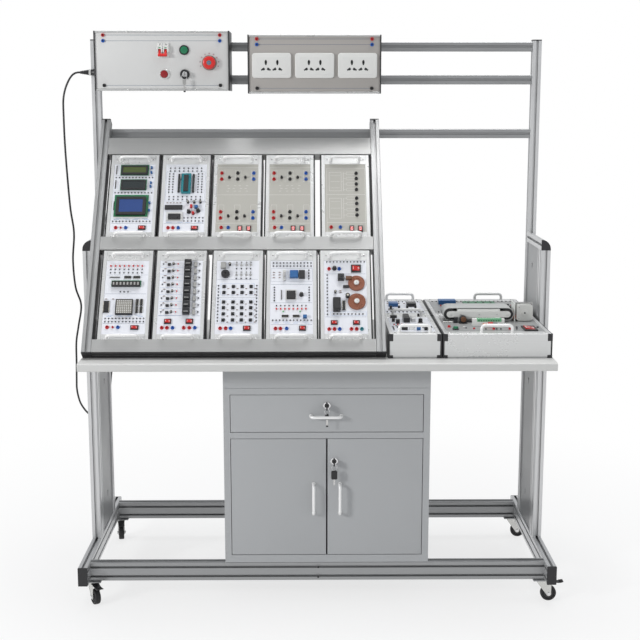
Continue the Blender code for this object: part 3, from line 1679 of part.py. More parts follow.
def make_cord(finishes):
    """The mains lead: it hangs beside the bench, rises behind the table and ends in a coil and a plug."""
    gland_y = upright_front - seat_gap - gland_depth
    gland_z = supply_bottom + gland_rise
    coil = coil_points()
    print_least_gap(coil)
    exit_point = Vector((gland_tip() - seat_gap, gland_y, gland_z))
    end = coil[0] - Vector((seat_gap, 0, 0))
    table_z = coil[0].z
    route = [
        exit_point,
        Vector((-0.7900, 0.183, 1.6650)),
        Vector((-0.7985, 0.183, 1.6628)),
        Vector((-0.8078, 0.183, 1.6567)),
        Vector((-0.8170, 0.183, 1.6455)),
        Vector((-0.8258, 0.183, 1.6295)),
        Vector((-0.8337, 0.183, 1.6095)),
        Vector((-0.8400, 0.183, 1.5819)),
        Vector((-0.8418, 0.183, 1.5426)),
        Vector((-0.8408, 0.185, 1.4107)),
        Vector((-0.8332, 0.192, 1.2263)),
        Vector((-0.8243, 0.198, 1.1321)),
        Vector((-0.8324, 0.205, 1.0374)),
        Vector((-0.8283, 0.212, 0.9430)),
        Vector((-0.8124, 0.218, 0.8793)),
        Vector((-0.8251, 0.224, 0.8055)),
        Vector((-0.8363, 0.232, 0.7463)),
        Vector((-0.8404, 0.243, 0.6728)),
        Vector((-0.8453, 0.258, 0.6047)),
        Vector((-0.8472, 0.266, 0.5738)),
        Vector((-0.8456, 0.278, 0.5418)),
        Vector((-0.8399, 0.296, 0.5080)),
        Vector((-0.8246, 0.330, 0.4679)),
        Vector((-0.8000, 0.364, 0.4395)),
        Vector((-0.7730, 0.393, 0.4520)),
        Vector((-0.7590, 0.407, 0.4900)),
        Vector((-0.7540, 0.411, 0.5400)),
        Vector((-0.7460, 0.412, 0.6100)),
        Vector((-0.7290, 0.408, 0.7000)),
        Vector((-0.7180, 0.403, 0.7560)),
        Vector((-0.7110, 0.3960, 0.7910)),
        Vector((-0.7050, 0.3700, 0.8095)),
        Vector((-0.7000, 0.3370, 0.8048)),
        Vector((-0.6930, 0.295, table_z)),
        Vector((-0.6810, 0.250, table_z)),
        Vector((-0.6660, 0.2085, table_z)),
        Vector((-0.6555, 0.174, table_z)),
        Vector((-0.6345, 0.1512, table_z)),
        end - Vector((2 * coil_lead, 0, 0)),
        end,
    ]
    points = smooth_route(route, cord_points)
    points[1] = points[0] + Vector((-2 * cord_radius, 0, 0))
    points[-2] = points[-1] - Vector((2 * cord_radius, 0, 0))
    length = sum((second - first).length for first, second in zip(points, points[1:]))
    coil_length = sum((second - first).length for first, second in zip(coil, coil[1:]))
    print(f"free stretch {length:.3f} m, coil {coil_length:.3f} m, in all {length + coil_length:.3f} m")
    cord_object("mains_cord", points, 2, finishes["cord"])
    cord_object("cord_coil", coil, 1, finishes["cord"])
    make_plug(coil[-1] + Vector((seat_gap, 0, 0)), finishes["cord"])


def make_plug(start, finish):
    """A moulded plug with a tapered tail and two pins, lying on the table beside the coil."""
    shape = bmesh.new()
    tail = (
        (cord_radius, 0),
        (plug_tail_radius, plug_tail_length),
    )
    add_turned(shape, tail, (0, 0), "X", 12)
    plug = mesh_object("mains_plug", shape, finish)
    body = bmesh.new()
    body_end = plug_tail_length + plug_body_length
    nose = plug_tail_length + plug_body_length * (1 - plug_nose_share)
    outline = [
        (plug_tail_length - fuse_depth, -plug_tail_radius),
        (nose, -plug_half_width),
        (body_end, -plug_half_width),
        (body_end, plug_half_width),
        (nose, plug_half_width),
        (plug_tail_length - fuse_depth, plug_tail_radius),
    ]
    lift = table_top_height + seat_gap - start.z
    add_prism(body, outline, lift, lift + 2 * plug_half_height)
    fuse(plug, body, "body")
    pins = bmesh.new()
    pin_z = lift + plug_half_height
    for sign in (-1, 1):
        centre = (sign * plug_pin_spread, pin_z)
        pin_end = body_end + plug_pin_length
        add_rod(pins, centre, plug_pin_radius, body_end - fuse_depth, pin_end, "X", detail_sides)
    fuse(plug, pins, "pins")
    plug.location = start


def main():
    clear_scene()
    finishes = {
        "aluminium": make_material("anodised_aluminium", (0.58, 0.59, 0.60), 0.35, 0.9),
        "band": make_material("satin_aluminium", (0.60, 0.60, 0.58), 0.45, 0.6),
        "panel": make_material("side_panel_paint", (0.20, 0.21, 0.21), 0.6, 0.0),
        "table": make_material("table_laminate", (0.58, 0.58, 0.56), 0.5, 0.0),
        "cabinet": make_material("cabinet_paint", (0.38, 0.39, 0.40), 0.5, 0.0),
        "module": make_material("module_panel", (0.62, 0.63, 0.62), 0.5, 0.1),
        "box": make_material("supply_box_paint", (0.66, 0.67, 0.66), 0.5, 0.1),
        "outlet": make_material("outlet_box_paint", (0.42, 0.41, 0.38), 0.5, 0.1),
        "zinc": make_material("zinc_plate", (0.65, 0.66, 0.68), 0.3, 1.0),
        "rubber": make_material("black_rubber", (0.02, 0.02, 0.02), 0.6, 0.0),
        "belt": make_material("conveyor_belt_rubber", (0.06, 0.09, 0.07), 0.7, 0.0),
        "green": make_material("green_plastic", (0.05, 0.45, 0.12), 0.35, 0.0),
        "red": make_material("red_plastic", (0.62, 0.03, 0.03), 0.35, 0.0),
        "cord": make_material("black_cord", (0.015, 0.015, 0.015), 0.5, 0.0),
    }
    make_base(finishes)
    make_castors(finishes)
    make_sides(finishes)
    make_cross_rails(finishes["aluminium"])
    make_table(finishes["table"])
    make_cabinet(finishes["cabinet"])
    make_drawer(finishes["cabinet"])
    make_doors(finishes["cabinet"])
    make_rack(finishes)
    make_supply_box(finishes)
    make_outlet_box(finishes)
    make_table_modules(finishes)
    make_cord(finishes)


main()
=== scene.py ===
"""A wheeled electronics bench: finishes, cord, modules, boxes, conveyor, cabinet, castors and studio."""

import math

import bmesh
import bpy
from mathutils import Matrix, Vector


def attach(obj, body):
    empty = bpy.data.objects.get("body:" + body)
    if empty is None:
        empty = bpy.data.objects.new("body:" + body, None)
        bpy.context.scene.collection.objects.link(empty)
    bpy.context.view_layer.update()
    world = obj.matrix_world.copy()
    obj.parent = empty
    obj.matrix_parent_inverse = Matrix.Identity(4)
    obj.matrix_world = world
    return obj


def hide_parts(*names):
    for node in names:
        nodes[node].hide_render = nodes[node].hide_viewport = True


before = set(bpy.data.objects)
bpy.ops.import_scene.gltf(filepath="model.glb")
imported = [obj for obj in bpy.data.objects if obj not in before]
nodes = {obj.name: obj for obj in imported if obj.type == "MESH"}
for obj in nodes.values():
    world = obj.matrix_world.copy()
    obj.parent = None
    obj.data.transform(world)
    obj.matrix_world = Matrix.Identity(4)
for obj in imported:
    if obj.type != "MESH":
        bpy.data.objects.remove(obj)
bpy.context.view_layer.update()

# Measures, in metres

quarter = math.pi / 2


def shift(x, y, z=0.0):
    """A move."""
    return Matrix.Translation((x, y, z))


def spun(angle, axis):
    """A turn about an axis."""
    return Matrix.Rotation(angle, 4, axis)


floor_height = 0.0
table_height = 0.8
lean = math.radians(36.2)
rack_foot = Vector((0, -0.2911, 0.8003))
rack_up = Vector((0, math.sin(lean), math.cos(lean)))
rack_out = Vector((0, -math.cos(lean), math.sin(lean)))
rack_face = rack_foot + rack_out * 0.0337
rack_turn = spun(quarter - lean, "X")

# Finishes


def add_to_scene(thing):
    bpy.context.scene.collection.objects.link(thing)


def new_group(name, inputs, outputs):
    """An empty node group with named inputs and outputs."""
    group = bpy.data.node_groups.new(name, "ShaderNodeTree")
    for label, kind, value in inputs:
        socket = group.interface.new_socket(label, in_out="INPUT", socket_type=kind)
        socket.default_value = value
    for label, kind in outputs:
        group.interface.new_socket(label, in_out="OUTPUT", socket_type=kind)
    return group, group.nodes.new("NodeGroupInput"), group.nodes.new("NodeGroupOutput")


def feed(tree, value, socket):
    """Links a socket to an input, or sets the input to a number."""
    if isinstance(value, (int, float)):
        socket.default_value = value
    else:
        tree.links.new(value, socket)


def maths(tree, operation, first, second=None, clamp=False):
    """A Math node whose inputs are sockets or numbers; returns its result."""
    node = tree.nodes.new("ShaderNodeMath")
    node.operation = operation
    node.use_clamp = clamp
    for index, value in enumerate((first, second)):
        if value is not None:
            feed(tree, value, node.inputs[index])
    return node.outputs[0]


def noise(tree, vector, scale, detail, roughness=0.55):
    """A noise texture's value at a scale that is a socket or a number."""
    node = tree.nodes.new("ShaderNodeTexNoise")
    tree.links.new(vector, node.inputs["Vector"])
    feed(tree, scale, node.inputs["Scale"])
    node.inputs["Detail"].default_value = detail
    node.inputs["Roughness"].default_value = roughness
    return node.outputs["Fac"]


def make_surface_group():
    """Fine grain, broad mottling and stretched streaks, as one tone, one roughness and one height."""
    group, inside, outside = new_group(
        "surface_marks",
        (
            ("Grain Scale", "NodeSocketFloat", 900.0),
            ("Grain", "NodeSocketFloat", 0.3),
            ("Mottle Scale", "NodeSocketFloat", 14.0),
            ("Mottle", "NodeSocketFloat", 0.3),
            ("Stretch", "NodeSocketVector", (1.0, 1.0, 1.0)),
            ("Streak", "NodeSocketFloat", 0.0),
        ),
        (("Tone", "NodeSocketFloat"), ("Wear", "NodeSocketFloat"), ("Height", "NodeSocketFloat")),
    )
    place = group.nodes.new("ShaderNodeTexCoord").outputs["Object"]
    grain = noise(group, place, inside.outputs["Grain Scale"], 2.0)
    mottle = noise(group, place, inside.outputs["Mottle Scale"], 4.0, 0.6)
    stretched = group.nodes.new("ShaderNodeVectorMath")
    stretched.operation = "MULTIPLY"
    group.links.new(place, stretched.inputs[0])
    group.links.new(inside.outputs["Stretch"], stretched.inputs[1])
    streak = noise(group, stretched.outputs[0], 1.0, 3.0, 0.65)
    total = None
    for value, amount in ((grain, "Grain"), (mottle, "Mottle"), (streak, "Streak")):
        part = maths(group, "MULTIPLY", maths(group, "SUBTRACT", value, 0.5), inside.outputs[amount])
        total = part if total is None else maths(group, "ADD", total, part)
    group.links.new(maths(group, "ADD", total, 1.0), outside.inputs["Tone"])
    wear = maths(group, "MULTIPLY", maths(group, "SUBTRACT", mottle, 0.5), 0.5)
    group.links.new(maths(group, "ADD", wear, maths(group, "MULTIPLY", total, 0.4)), outside.inputs["Wear"])
    height = maths(group, "ADD", grain, maths(group, "MULTIPLY", streak, inside.outputs["Streak"]))
    group.links.new(height, outside.inputs["Height"])
    return group


def make_zone_group():
    """One where a point lies further than Half from Centre along Axis, and zero elsewhere."""
    group, inside, outside = new_group(
        "end_zone",
        (
            ("Axis", "NodeSocketVector", (0.0, 0.0, 1.0)),
            ("Centre", "NodeSocketFloat", 0.0),
            ("Half", "NodeSocketFloat", 1.0),
        ),
        (("Mask", "NodeSocketFloat"),),
    )
    place = group.nodes.new("ShaderNodeTexCoord").outputs["Object"]
    along = group.nodes.new("ShaderNodeVectorMath")
    along.operation = "DOT_PRODUCT"
    group.links.new(place, along.inputs[0])
    group.links.new(inside.outputs["Axis"], along.inputs[1])
    away = maths(
        group, "ABSOLUTE", maths(group, "SUBTRACT", along.outputs["Value"], inside.outputs["Centre"])
    )
    group.links.new(maths(group, "GREATER_THAN", away, inside.outputs["Half"]), outside.inputs["Mask"])
    return group


surface_group = make_surface_group()
zone_group = make_zone_group()


def blend_value(tree, mask, first, second):
    """first where the mask is zero and second where it is one."""
    return maths(tree, "ADD", first, maths(tree, "MULTIPLY", mask, second - first))


cap_colour = (0.016, 0.016, 0.018)
cap_roughness = 0.45
wear_share = 0.5
coat_roughness = 0.12
relief_depth = 0.001


def finish(
    name, colour, roughness, grain, mottle=(14, 0.06), bump=0.02, metallic=0.0, stretch=(1, 1, 1),
    streak=0.0, zone=None, coat=0.0, glow=None,
):
    """A procedural finish; zone = (axis, centre, half) paints what lies beyond it as a black cap."""
    made = bpy.data.materials.new(name)
    made.use_nodes = True
    tree = made.node_tree
    shader = tree.nodes["Principled BSDF"]
    marks = tree.nodes.new("ShaderNodeGroup")
    marks.node_tree = surface_group
    for label, value in (
        ("Grain Scale", grain[0]),
        ("Grain", grain[1]),
        ("Mottle Scale", mottle[0]),
        ("Mottle", mottle[1]),
        ("Stretch", stretch),
        ("Streak", streak),
    ):
        marks.inputs[label].default_value = value
    mask = None
    if zone:
        ends = tree.nodes.new("ShaderNodeGroup")
        ends.node_tree = zone_group
        for label, value in zip(("Axis", "Centre", "Half"), zone):
            ends.inputs[label].default_value = value
        mask = ends.outputs["Mask"]
    base = tree.nodes.new("ShaderNodeMix")
    base.data_type = "RGBA"
    base.inputs["A"].default_value = (*colour, 1.0)
    base.inputs["B"].default_value = (*cap_colour, 1.0)
    base.inputs["Factor"].default_value = 0.0
    if mask:
        tree.links.new(mask, base.inputs["Factor"])
    toned = tree.nodes.new("ShaderNodeMix")
    toned.data_type = "RGBA"
    toned.blend_type = "MULTIPLY"
    toned.inputs["Factor"].default_value = 1.0
    tree.links.new(base.outputs["Result"], toned.inputs["A"])
    tree.links.new(marks.outputs["Tone"], toned.inputs["B"])
    tree.links.new(toned.outputs["Result"], shader.inputs["Base Color"])
    rough = maths(tree, "MULTIPLY", marks.outputs["Wear"], wear_share)
    if mask:
        rough = maths(tree, "ADD", rough, blend_value(tree, mask, roughness, cap_roughness), clamp=True)
        tree.links.new(blend_value(tree, mask, metallic, 0.0), shader.inputs["Metallic"])
    else:
        rough = maths(tree, "ADD", rough, roughness, clamp=True)
        shader.inputs["Metallic"].default_value = metallic
    tree.links.new(rough, shader.inputs["Roughness"])
    if bump:
        relief = tree.nodes.new("ShaderNodeBump")
        relief.inputs["Strength"].default_value = bump
        relief.inputs["Distance"].default_value = relief_depth
        tree.links.new(marks.outputs["Height"], relief.inputs["Height"])
        tree.links.new(relief.outputs["Normal"], shader.inputs["Normal"])
    if coat:
        shader.inputs["Coat Weight"].default_value = coat
        shader.inputs["Coat Roughness"].default_value = coat_roughness
    if glow:
        tree.links.new(toned.outputs["Result"], shader.inputs["Emission Color"])
        shader.inputs["Emission Strength"].default_value = glow
    return made


alu_colour = (0.62, 0.625, 0.63)


def drawn_aluminium(name, stretch, zone=None, colour=alu_colour):
    return finish(
        name, colour, 0.36, (1400, 0.05), (9, 0.1), 0.05, metallic=0.72, stretch=stretch, streak=0.16,
        zone=zone,
    )


along_x = (2.0, 420.0, 420.0)
along_y = (420.0, 2.0, 420.0)
along_z = (420.0, 420.0, 2.0)
# The cross rails get a darker colour than the same aluminium on the uprights: painted shade for their
# darker front faces.
alu_across_painted_shade = drawn_aluminium("aluminium_drawn_across_painted_shade", along_x, colour=(0.33, 0.335, 0.34))
alu_z = drawn_aluminium("aluminium_drawn_upright", along_z)
alu_base_side = drawn_aluminium("aluminium_base_side", along_y, ((0, 1, 0), 0.03, 0.3464))
alu_upright = drawn_aluminium("aluminium_upright", along_z, ((0, 0, 1), 0.0, 1.7694))
alu_guard = drawn_aluminium("aluminium_guard", along_y, ((0, 1, 0), 0.446, 0.4995))
rack_centre = rack_foot.dot(rack_up) + 0.429
# The rack posts get a darker colour than the same aluminium profile elsewhere: painted shade, so that their
# lit faces read grey.
alu_rack_post_painted_shade = drawn_aluminium(
    "aluminium_rack_post_painted_shade", (420.0, 30.0, 12.0), (tuple(rack_up), rack_centre, 0.4254), (0.47, 0.475, 0.475)
)
alu_band = finish(
    "satin_band", (0.48, 0.482, 0.475), 0.34, (1200, 0.05), (7, 0.08), 0.04, metallic=0.6, stretch=along_x,
    streak=0.14,
)
cabinet_paint = finish("cabinet_powder_paint", (0.4, 0.408, 0.415), 0.42, (1500, 0.05), (3, 0.05), 0.05)
side_paint = finish(
    "side_panel_paint", (0.3, 0.305, 0.31), 0.38, (1500, 0.05), (5, 0.08), 0.04, metallic=0.15
)
table_laminate = finish(
    "table_laminate", (0.6, 0.6, 0.585), 0.4, (700, 0.07), (5, 0.05), 0.03, stretch=(3.0, 60.0, 60.0),
    streak=0.05,
)
zinc = finish("bright_zinc", (0.62, 0.62, 0.6), 0.26, (600, 0.1), (60, 0.2), 0.05, metallic=0.95)
chrome = finish("chrome", (0.72, 0.72, 0.73), 0.1, (900, 0.05), (40, 0.08), 0.01, metallic=1.0)
black_rubber = finish("black_rubber", (0.013, 0.013, 0.014), 0.62, (1100, 0.25), (30, 0.2), 0.15)
black_plastic = finish("black_plastic", (0.016, 0.016, 0.018), 0.4, (1500, 0.15), (25, 0.12), 0.05)
cord_jacket = finish("cord_jacket", (0.012, 0.012, 0.013), 0.38, (500, 0.15), (20, 0.15), 0.05)
green_plastic = finish("green_plastic", (0.01, 0.165, 0.06), 0.25, (900, 0.08), (60, 0.15))
red_plastic = finish("red_plastic", (0.46, 0.012, 0.012), 0.3, (900, 0.08), (60, 0.15))
belt_rubber = finish("belt_rubber", (0.46, 0.47, 0.46), 0.55, (800, 0.15), (20, 0.12), 0.1)


coated_nodes = (
    (alu_base_side, "base_rail_left base_rail_right"),
    (alu_z, "front_post_left front_post_right"),
    (alu_upright, "rear_upright_left rear_upright_right"),
    (alu_guard, "guard_rail_left guard_rail_right"),
    (alu_rack_post_painted_shade, "rack_post_left rack_post_right"),
    (alu_across_painted_shade, "base_rail_front base_rail_rear cross_rail_top cross_rail_middle cross_rail_lower"),
    (alu_band, "rack_bottom_band rack_middle_band rack_top_band"),
    (side_paint, "side_panel_left side_panel_right"),
    (cabinet_paint, "cabinet_carcass drawer door_left door_right"),
    (table_laminate, "table_top"),
    (zinc, "castor_fork_front_left castor_fork_front_right castor_fork_rear_left castor_fork_rear_right"),
    (black_rubber, "castor_wheel_front_left castor_wheel_front_right idler_roller"),
    (black_rubber, "castor_wheel_rear_left castor_wheel_rear_right drive_roller"),
    (green_plastic, "start_button"),
    (red_plastic, "stop_button emergency_button breaker_toggle"),
    (chrome, "switch_key"),
    (belt_rubber, "conveyor_belt"),
    (cord_jacket, "mains_plug"),
)
for coat, names in coated_nodes:
    for name in names.split():
        for slot in nodes[name].material_slots:
            slot.material = coat

# The mains cord

cord_radius = 0.00325
coil_steps = 24
coil_turns = 4
coil_pitch = 0.0072
coil_middle = Vector((-0.585, 0.1, table_height + cord_radius + 0.0003))
coil_outer = 0.039 + coil_pitch / 2
gland_tip = Vector((-0.7833, 0.183, 1.6652))
hanging_route = (
    (-0.79, 0.183, 1.665), (-0.7985, 0.183, 1.6628), (-0.8078, 0.183, 1.6567), (-0.817, 0.183, 1.6455),
    (-0.8258, 0.183, 1.6295), (-0.8337, 0.183, 1.6095), (-0.84, 0.183, 1.5819), (-0.8418, 0.183, 1.5426),
    (-0.8408, 0.185, 1.4107), (-0.8332, 0.192, 1.2263), (-0.8243, 0.198, 1.1321), (-0.8324, 0.205, 1.0374),
    (-0.8283, 0.212, 0.943), (-0.8124, 0.218, 0.8793), (-0.8251, 0.224, 0.8055), (-0.8363, 0.232, 0.7463),
    (-0.8404, 0.243, 0.6728), (-0.8453, 0.258, 0.6047), (-0.8472, 0.266, 0.5738), (-0.8456, 0.278, 0.5418),
    (-0.8399, 0.296, 0.508), (-0.8246, 0.33, 0.4679), (-0.8, 0.364, 0.4395), (-0.773, 0.393, 0.452),
    (-0.759, 0.407, 0.49), (-0.754, 0.411, 0.54), (-0.746, 0.412, 0.61), (-0.729, 0.408, 0.7),
    (-0.718, 0.403, 0.756), (-0.711, 0.396, 0.791), (-0.705, 0.37, 0.8095), (-0.7, 0.337, 0.8048),
)
table_route = ((-0.693, 0.295), (-0.681, 0.25), (-0.666, 0.2085), (-0.6555, 0.174), (-0.6345, 0.1512))


def coil_route():
    """Two turns inwards on the table, then two outwards on top of them."""
    points = [coil_middle + Vector((-0.0065, coil_outer, 0))]
    total = coil_steps * coil_turns
    for step in range(total + 1):
        turned = min(step, total - step) / coil_steps
        radius = coil_outer - coil_pitch * turned
        rise = min(max((step - total / 2 + coil_steps / 4) / (coil_steps / 2), 0), 1)
        angle = quarter - 2 * math.pi * step / coil_steps
        lift = coil_pitch * rise * rise * (3 - 2 * rise)
        points.append(coil_middle + Vector((radius * math.cos(angle), radius * math.sin(angle), lift)))
    for reach in (0.0065, 0.0216, 0.0378, 0.054):
        points.append(coil_middle + Vector((reach, coil_outer, coil_pitch)))
    return points


def cord_route():
    coil = coil_route()
    points = [gland_tip] + [Vector(point) for point in hanging_route]
    points += [Vector((x, y, coil_middle.z)) for x, y in table_route]
    return points + [coil[0] - Vector((0.0133, 0, 0))] + coil


def make_cord():
    """One smooth curve with the cord's own thickness, through the points of its route."""
    points = cord_route()
    line = bpy.data.curves.new("mains_lead", "CURVE")
    line.dimensions = "3D"
    line.bevel_depth = cord_radius
    line.bevel_resolution = 5
    line.resolution_u = 8
    line.use_fill_caps = True
    spline = line.splines.new("BEZIER")
    spline.bezier_points.add(len(points) - 1)
    for index, (knot, point) in enumerate(zip(spline.bezier_points, points)):
        before = points[max(index - 1, 0)]
        after = points[min(index + 1, len(points) - 1)]
        run = (after - before) / (6 if 0 < index < len(points) - 1 else 3)
        knot.handle_left_type = knot.handle_right_type = "FREE"
        knot.co = point
        knot.handle_left = point - run
        knot.handle_right = point + run
    lead = bpy.data.objects.new("mains_lead", line)
    add_to_scene(lead)
    line.materials.append(cord_jacket)
    return lead


lead = make_cord()
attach(lead, "bench")
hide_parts("mains_cord", "cord_coil")

# Modelling steps that many pieces share

tiny = 0.00002
hair = 0.0003
mm = 0.001
smooth_angle = math.radians(35)


def settle(name, paint_on):
    """Writes the new primitive's place into its mesh and gives it a name and a finish."""
    bpy.ops.object.transform_apply(location=True, rotation=True, scale=True)
    piece = bpy.context.object
    piece.name = name
    piece.data.materials.append(paint_on)
    return piece


def pick(piece, kind, wanted):
    """Selects, in edit mode, the corners, edges or faces that pass a test."""
    bpy.ops.object.mode_set(mode="EDIT")
    bpy.ops.mesh.select_mode(type=kind)
    bpy.ops.mesh.select_all(action="DESELECT")
    shape = bmesh.from_edit_mesh(piece.data)
    for element in {"VERT": shape.verts, "EDGE": shape.edges, "FACE": shape.faces}[kind]:
        if wanted(element):
            element.select_set(True)
    bmesh.update_edit_mesh(piece.data)


def draw_out(x, y, z):
    """Extrudes what is selected."""
    bpy.ops.mesh.extrude_region_move(TRANSFORM_OT_translate={"value": (x, y, z)})


def round_edges(piece, width, wanted, segments=2):
    """Rounds the edges whose two ends pass a test."""
    pick(piece, "EDGE", lambda edge: wanted(edge.verts[0].co, edge.verts[1].co))
    bpy.ops.mesh.bevel(offset=width, segments=segments, affect="EDGES")
    bpy.ops.object.mode_set(mode="OBJECT")


def block(name, paint_on, low, high, rounding=0.0, segments=2):
    """A block between two corners with rounded edges."""
    bpy.ops.object.select_all(action="DESELECT")
    low = Vector(low)
    high = Vector(high)
    bpy.ops.mesh.primitive_cube_add(size=1.0, location=(low + high) / 2)
    bpy.context.object.scale = high - low
    piece = settle(name, paint_on)
    if rounding:
        round_edges(piece, rounding, lambda start, end: True, segments)
    return piece


def rod(name, paint_on, radius, low, high, sides=16, rounding=0.0, segments=2):
    """An upright rod with a rounded upper rim."""
    bpy.ops.object.select_all(action="DESELECT")
    bpy.ops.mesh.primitive_cylinder_add(
        vertices=sides, radius=radius, depth=high - low, location=(0, 0, (low + high) / 2)
    )
    piece = settle(name, paint_on)
    if rounding:
        round_edges(piece, rounding, lambda start, end: min(start.z, end.z) > high - tiny, segments)
    return piece


def sink(piece, rim, depth, paint_on=None):
    """Insets the top face and pushes it down, or pulls it up where the depth is negative."""
    top = max(corner.co.z for corner in piece.data.vertices)
    pick(piece, "FACE", lambda face: face.normal.z > 0.9 and face.calc_center_median().z > top - tiny)
    bpy.ops.mesh.inset(thickness=rim)
    draw_out(0, 0, -depth)
    bpy.ops.object.mode_set(mode="OBJECT")
    if paint_on:
        floor = top - depth
        paint(piece, paint_on, lambda middle, normal: abs(middle.z - floor) < tiny and normal.z > 0.9)
    return piece


def paint(piece, paint_on, wanted):
    """Gives a finish to the faces whose middle and normal pass a test."""
    index = piece.data.materials.find(paint_on.name)
    if index < 0:
        piece.data.materials.append(paint_on)
        index = len(piece.data.materials) - 1
    for face in piece.data.polygons:
        if wanted(face.center, face.normal):
            face.material_index = index
    return piece


def shift_top(piece, move, wanted):
    """Moves the corners that pass a test."""
    pick(piece, "VERT", lambda corner: wanted(corner.co))
    bpy.ops.transform.translate(value=move)
    bpy.ops.object.mode_set(mode="OBJECT")


def joined(name, pieces):
    """Several pieces as one mesh."""
    bpy.ops.object.select_all(action="DESELECT")
    for piece in pieces:
        piece.select_set(True)
    bpy.context.view_layer.objects.active = pieces[0]
    if len(pieces) > 1:
        bpy.ops.object.join()
    whole = bpy.context.object
    whole.name = name
    whole.data.name = name
    bpy.ops.object.shade_smooth_by_angle(angle=smooth_angle)
    return whole


def turned(name, paint_on, profile, sides=24):
    """A profile of (radius, height) points spun about z; the ends on the axis close it."""
    bpy.ops.object.select_all(action="DESELECT")
    bpy.ops.mesh.primitive_circle_add(vertices=sides, radius=profile[0][0], location=(0, 0, profile[0][1]))
    bpy.context.object.name = name
    piece = settle(name, paint_on)
    bpy.ops.object.mode_set(mode="EDIT")
    bpy.ops.mesh.select_all(action="SELECT")
    bpy.ops.mesh.edge_face_add()
    radius, height = profile[0]
    for next_radius, next_height in profile[1:]:
        draw_out(0, 0, next_height - height)
        scale = next_radius / radius
        bpy.ops.transform.resize(value=(scale, scale, 1), center_override=(0, 0, next_height))
        radius, height = next_radius, next_height
    bpy.ops.mesh.select_all(action="SELECT")
    bpy.ops.mesh.normals_make_consistent(inside=False)
    bpy.ops.object.mode_set(mode="OBJECT")
    return piece


def pulled(name, paint_on, outline, start, end, rounding=0.0):
    """An outline in the x-z plane pulled out along y."""
    sheet = bpy.data.meshes.new(name)
    sheet.from_pydata([(x, start, z) for x, z in outline], [], [tuple(range(len(outline)))])
    piece = bpy.data.objects.new(name, sheet)
    add_to_scene(piece)
    bpy.ops.object.select_all(action="DESELECT")
    bpy.context.view_layer.objects.active = piece
    piece.select_set(True)
    piece.data.materials.append(paint_on)
    bpy.ops.object.mode_set(mode="EDIT")
    bpy.ops.mesh.select_all(action="SELECT")
    draw_out(0, end - start, 0)
    bpy.ops.mesh.select_all(action="SELECT")
    bpy.ops.mesh.normals_make_consistent(inside=False)
    bpy.ops.object.mode_set(mode="OBJECT")
    if rounding:
        round_edges(piece, rounding, lambda a, b: abs(a.y - b.y) < tiny and min(a.z, b.z) > 0, 2)
    return piece


def across_rod(name, paint_on, radius, x, z, start, end, sides=28, rounding=0.0008):
    """A round rod along y between two depths."""
    piece = rod(name, paint_on, radius, 0, end - start, sides, rounding, 2)
    piece.data.transform(shift(x, end, z) @ spun(quarter, "X"))
    return piece


small_parts = []


def small_part(name, pieces):
    """A part that is modelled once; the bench gets copies of it."""
    part = joined(name, pieces)
    small_parts.append(part)
    return part


class Assembly:
    """Gathers shapes and copies of small parts in a frame of its own and joins them into one piece."""

    def __init__(self, place, width=0.0, foot=0.0, lean_shift=0.0):
        self.place = place
        self.width = width
        self.foot = foot
        self.lean_shift = lean_shift
        self.gathered = []

    def at(self, across, along, height=0.0):
        """A place on a face from millimetres across it and up what shows of it."""
        return across * mm - self.width / 2, along * mm + self.foot - self.lean_shift * height

    def keep(self, piece, place=None):
        """Takes a piece in, at a place in this frame."""
        piece.data.transform(self.place @ (place or Matrix()))
        self.gathered.append(piece)

    def block(self, *measures):
        self.keep(block(*measures))

    def pulled(self, *measures):
        self.keep(pulled(*measures))

    def across_rod(self, *measures):
        self.keep(across_rod(*measures))

    def turned(self, name, paint_on, profile, sides, place=None):
        self.keep(turned(name, paint_on, profile, sides), place)

    def round_block(self, name, paint_on, low, high, width, wanted, segments):
        """A block with only some of its edges rounded."""
        piece = block(name, paint_on, low, high)
        round_edges(piece, width, wanted, segments)
        self.keep(piece)

    def put(self, part, x, y, z=0.0, turn=0.0, size=(1, 1, 1)):
        """A copy of a small part with a mesh of its own."""
        copy = part.copy()
        copy.data = part.data.copy()
        add_to_scene(copy)
        self.keep(copy, shift(x, y, z) @ spun(turn, "Z") @ Matrix.Diagonal((*size, 1)))

    def set(self, part, across, along, turn=0.0, size=(1, 1, 1)):
        """A copy of a small part on the face, placed in millimetres."""
        self.put(part, *self.at(across, along), panel_depth, turn, size)

    def row(self, part, start, end, along, count, size=(1, 1, 1)):
        """Copies spaced evenly across the face."""
        for index in range(count):
            self.set(part, start + (end - start) * index / (count - 1), along, 0.0, size)

    def rows(self, part, start, end, count, *levels):
        """Several rows that are alike, one at each level."""
        for along in levels:
            self.row(part, start, end, along, count)

    def column(self, part, across, start, end, count):
        """Copies spaced evenly up the face."""
        for index in range(count):
            self.set(part, across, start + (end - start) * index / (count - 1))

    def slab(self, paint_on, left, right, low, high, top, rounding=0.0004):
        """A block on the face between marks in millimetres, rising to a height."""
        lower = (*self.at(left, low, top), panel_depth - hair)
        self.block("slab", paint_on, lower, (*self.at(right, high, top), top), rounding, 1)

    def slabs(self, *rows):
        for row in rows:
            self.slab(*row)

    def sets(self, *rows):
        for row in rows:
            self.set(*row)

    def done(self, name, body, slot_name, *replaced):
        """Joins what was kept, hangs the piece on its body and hides the nodes that it replaces; slot_name
        is not used.
        """
        whole = joined(name, self.gathered)
        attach(whole, body)
        if replaced:
            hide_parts(*replaced)


panel_depth = -0.0012
print_level = panel_depth + 0.00012

# Finishes of the modules and of their small parts

fine_grain = (900, 0.08)


def moulded(name, colour, roughness=0.28, mottle=(80, 0.12), bump=0.02, metallic=0.0):
    """Moulded plastic or plated metal with a fine grain."""
    return finish(name, colour, roughness, fine_grain, mottle, bump, metallic=metallic)


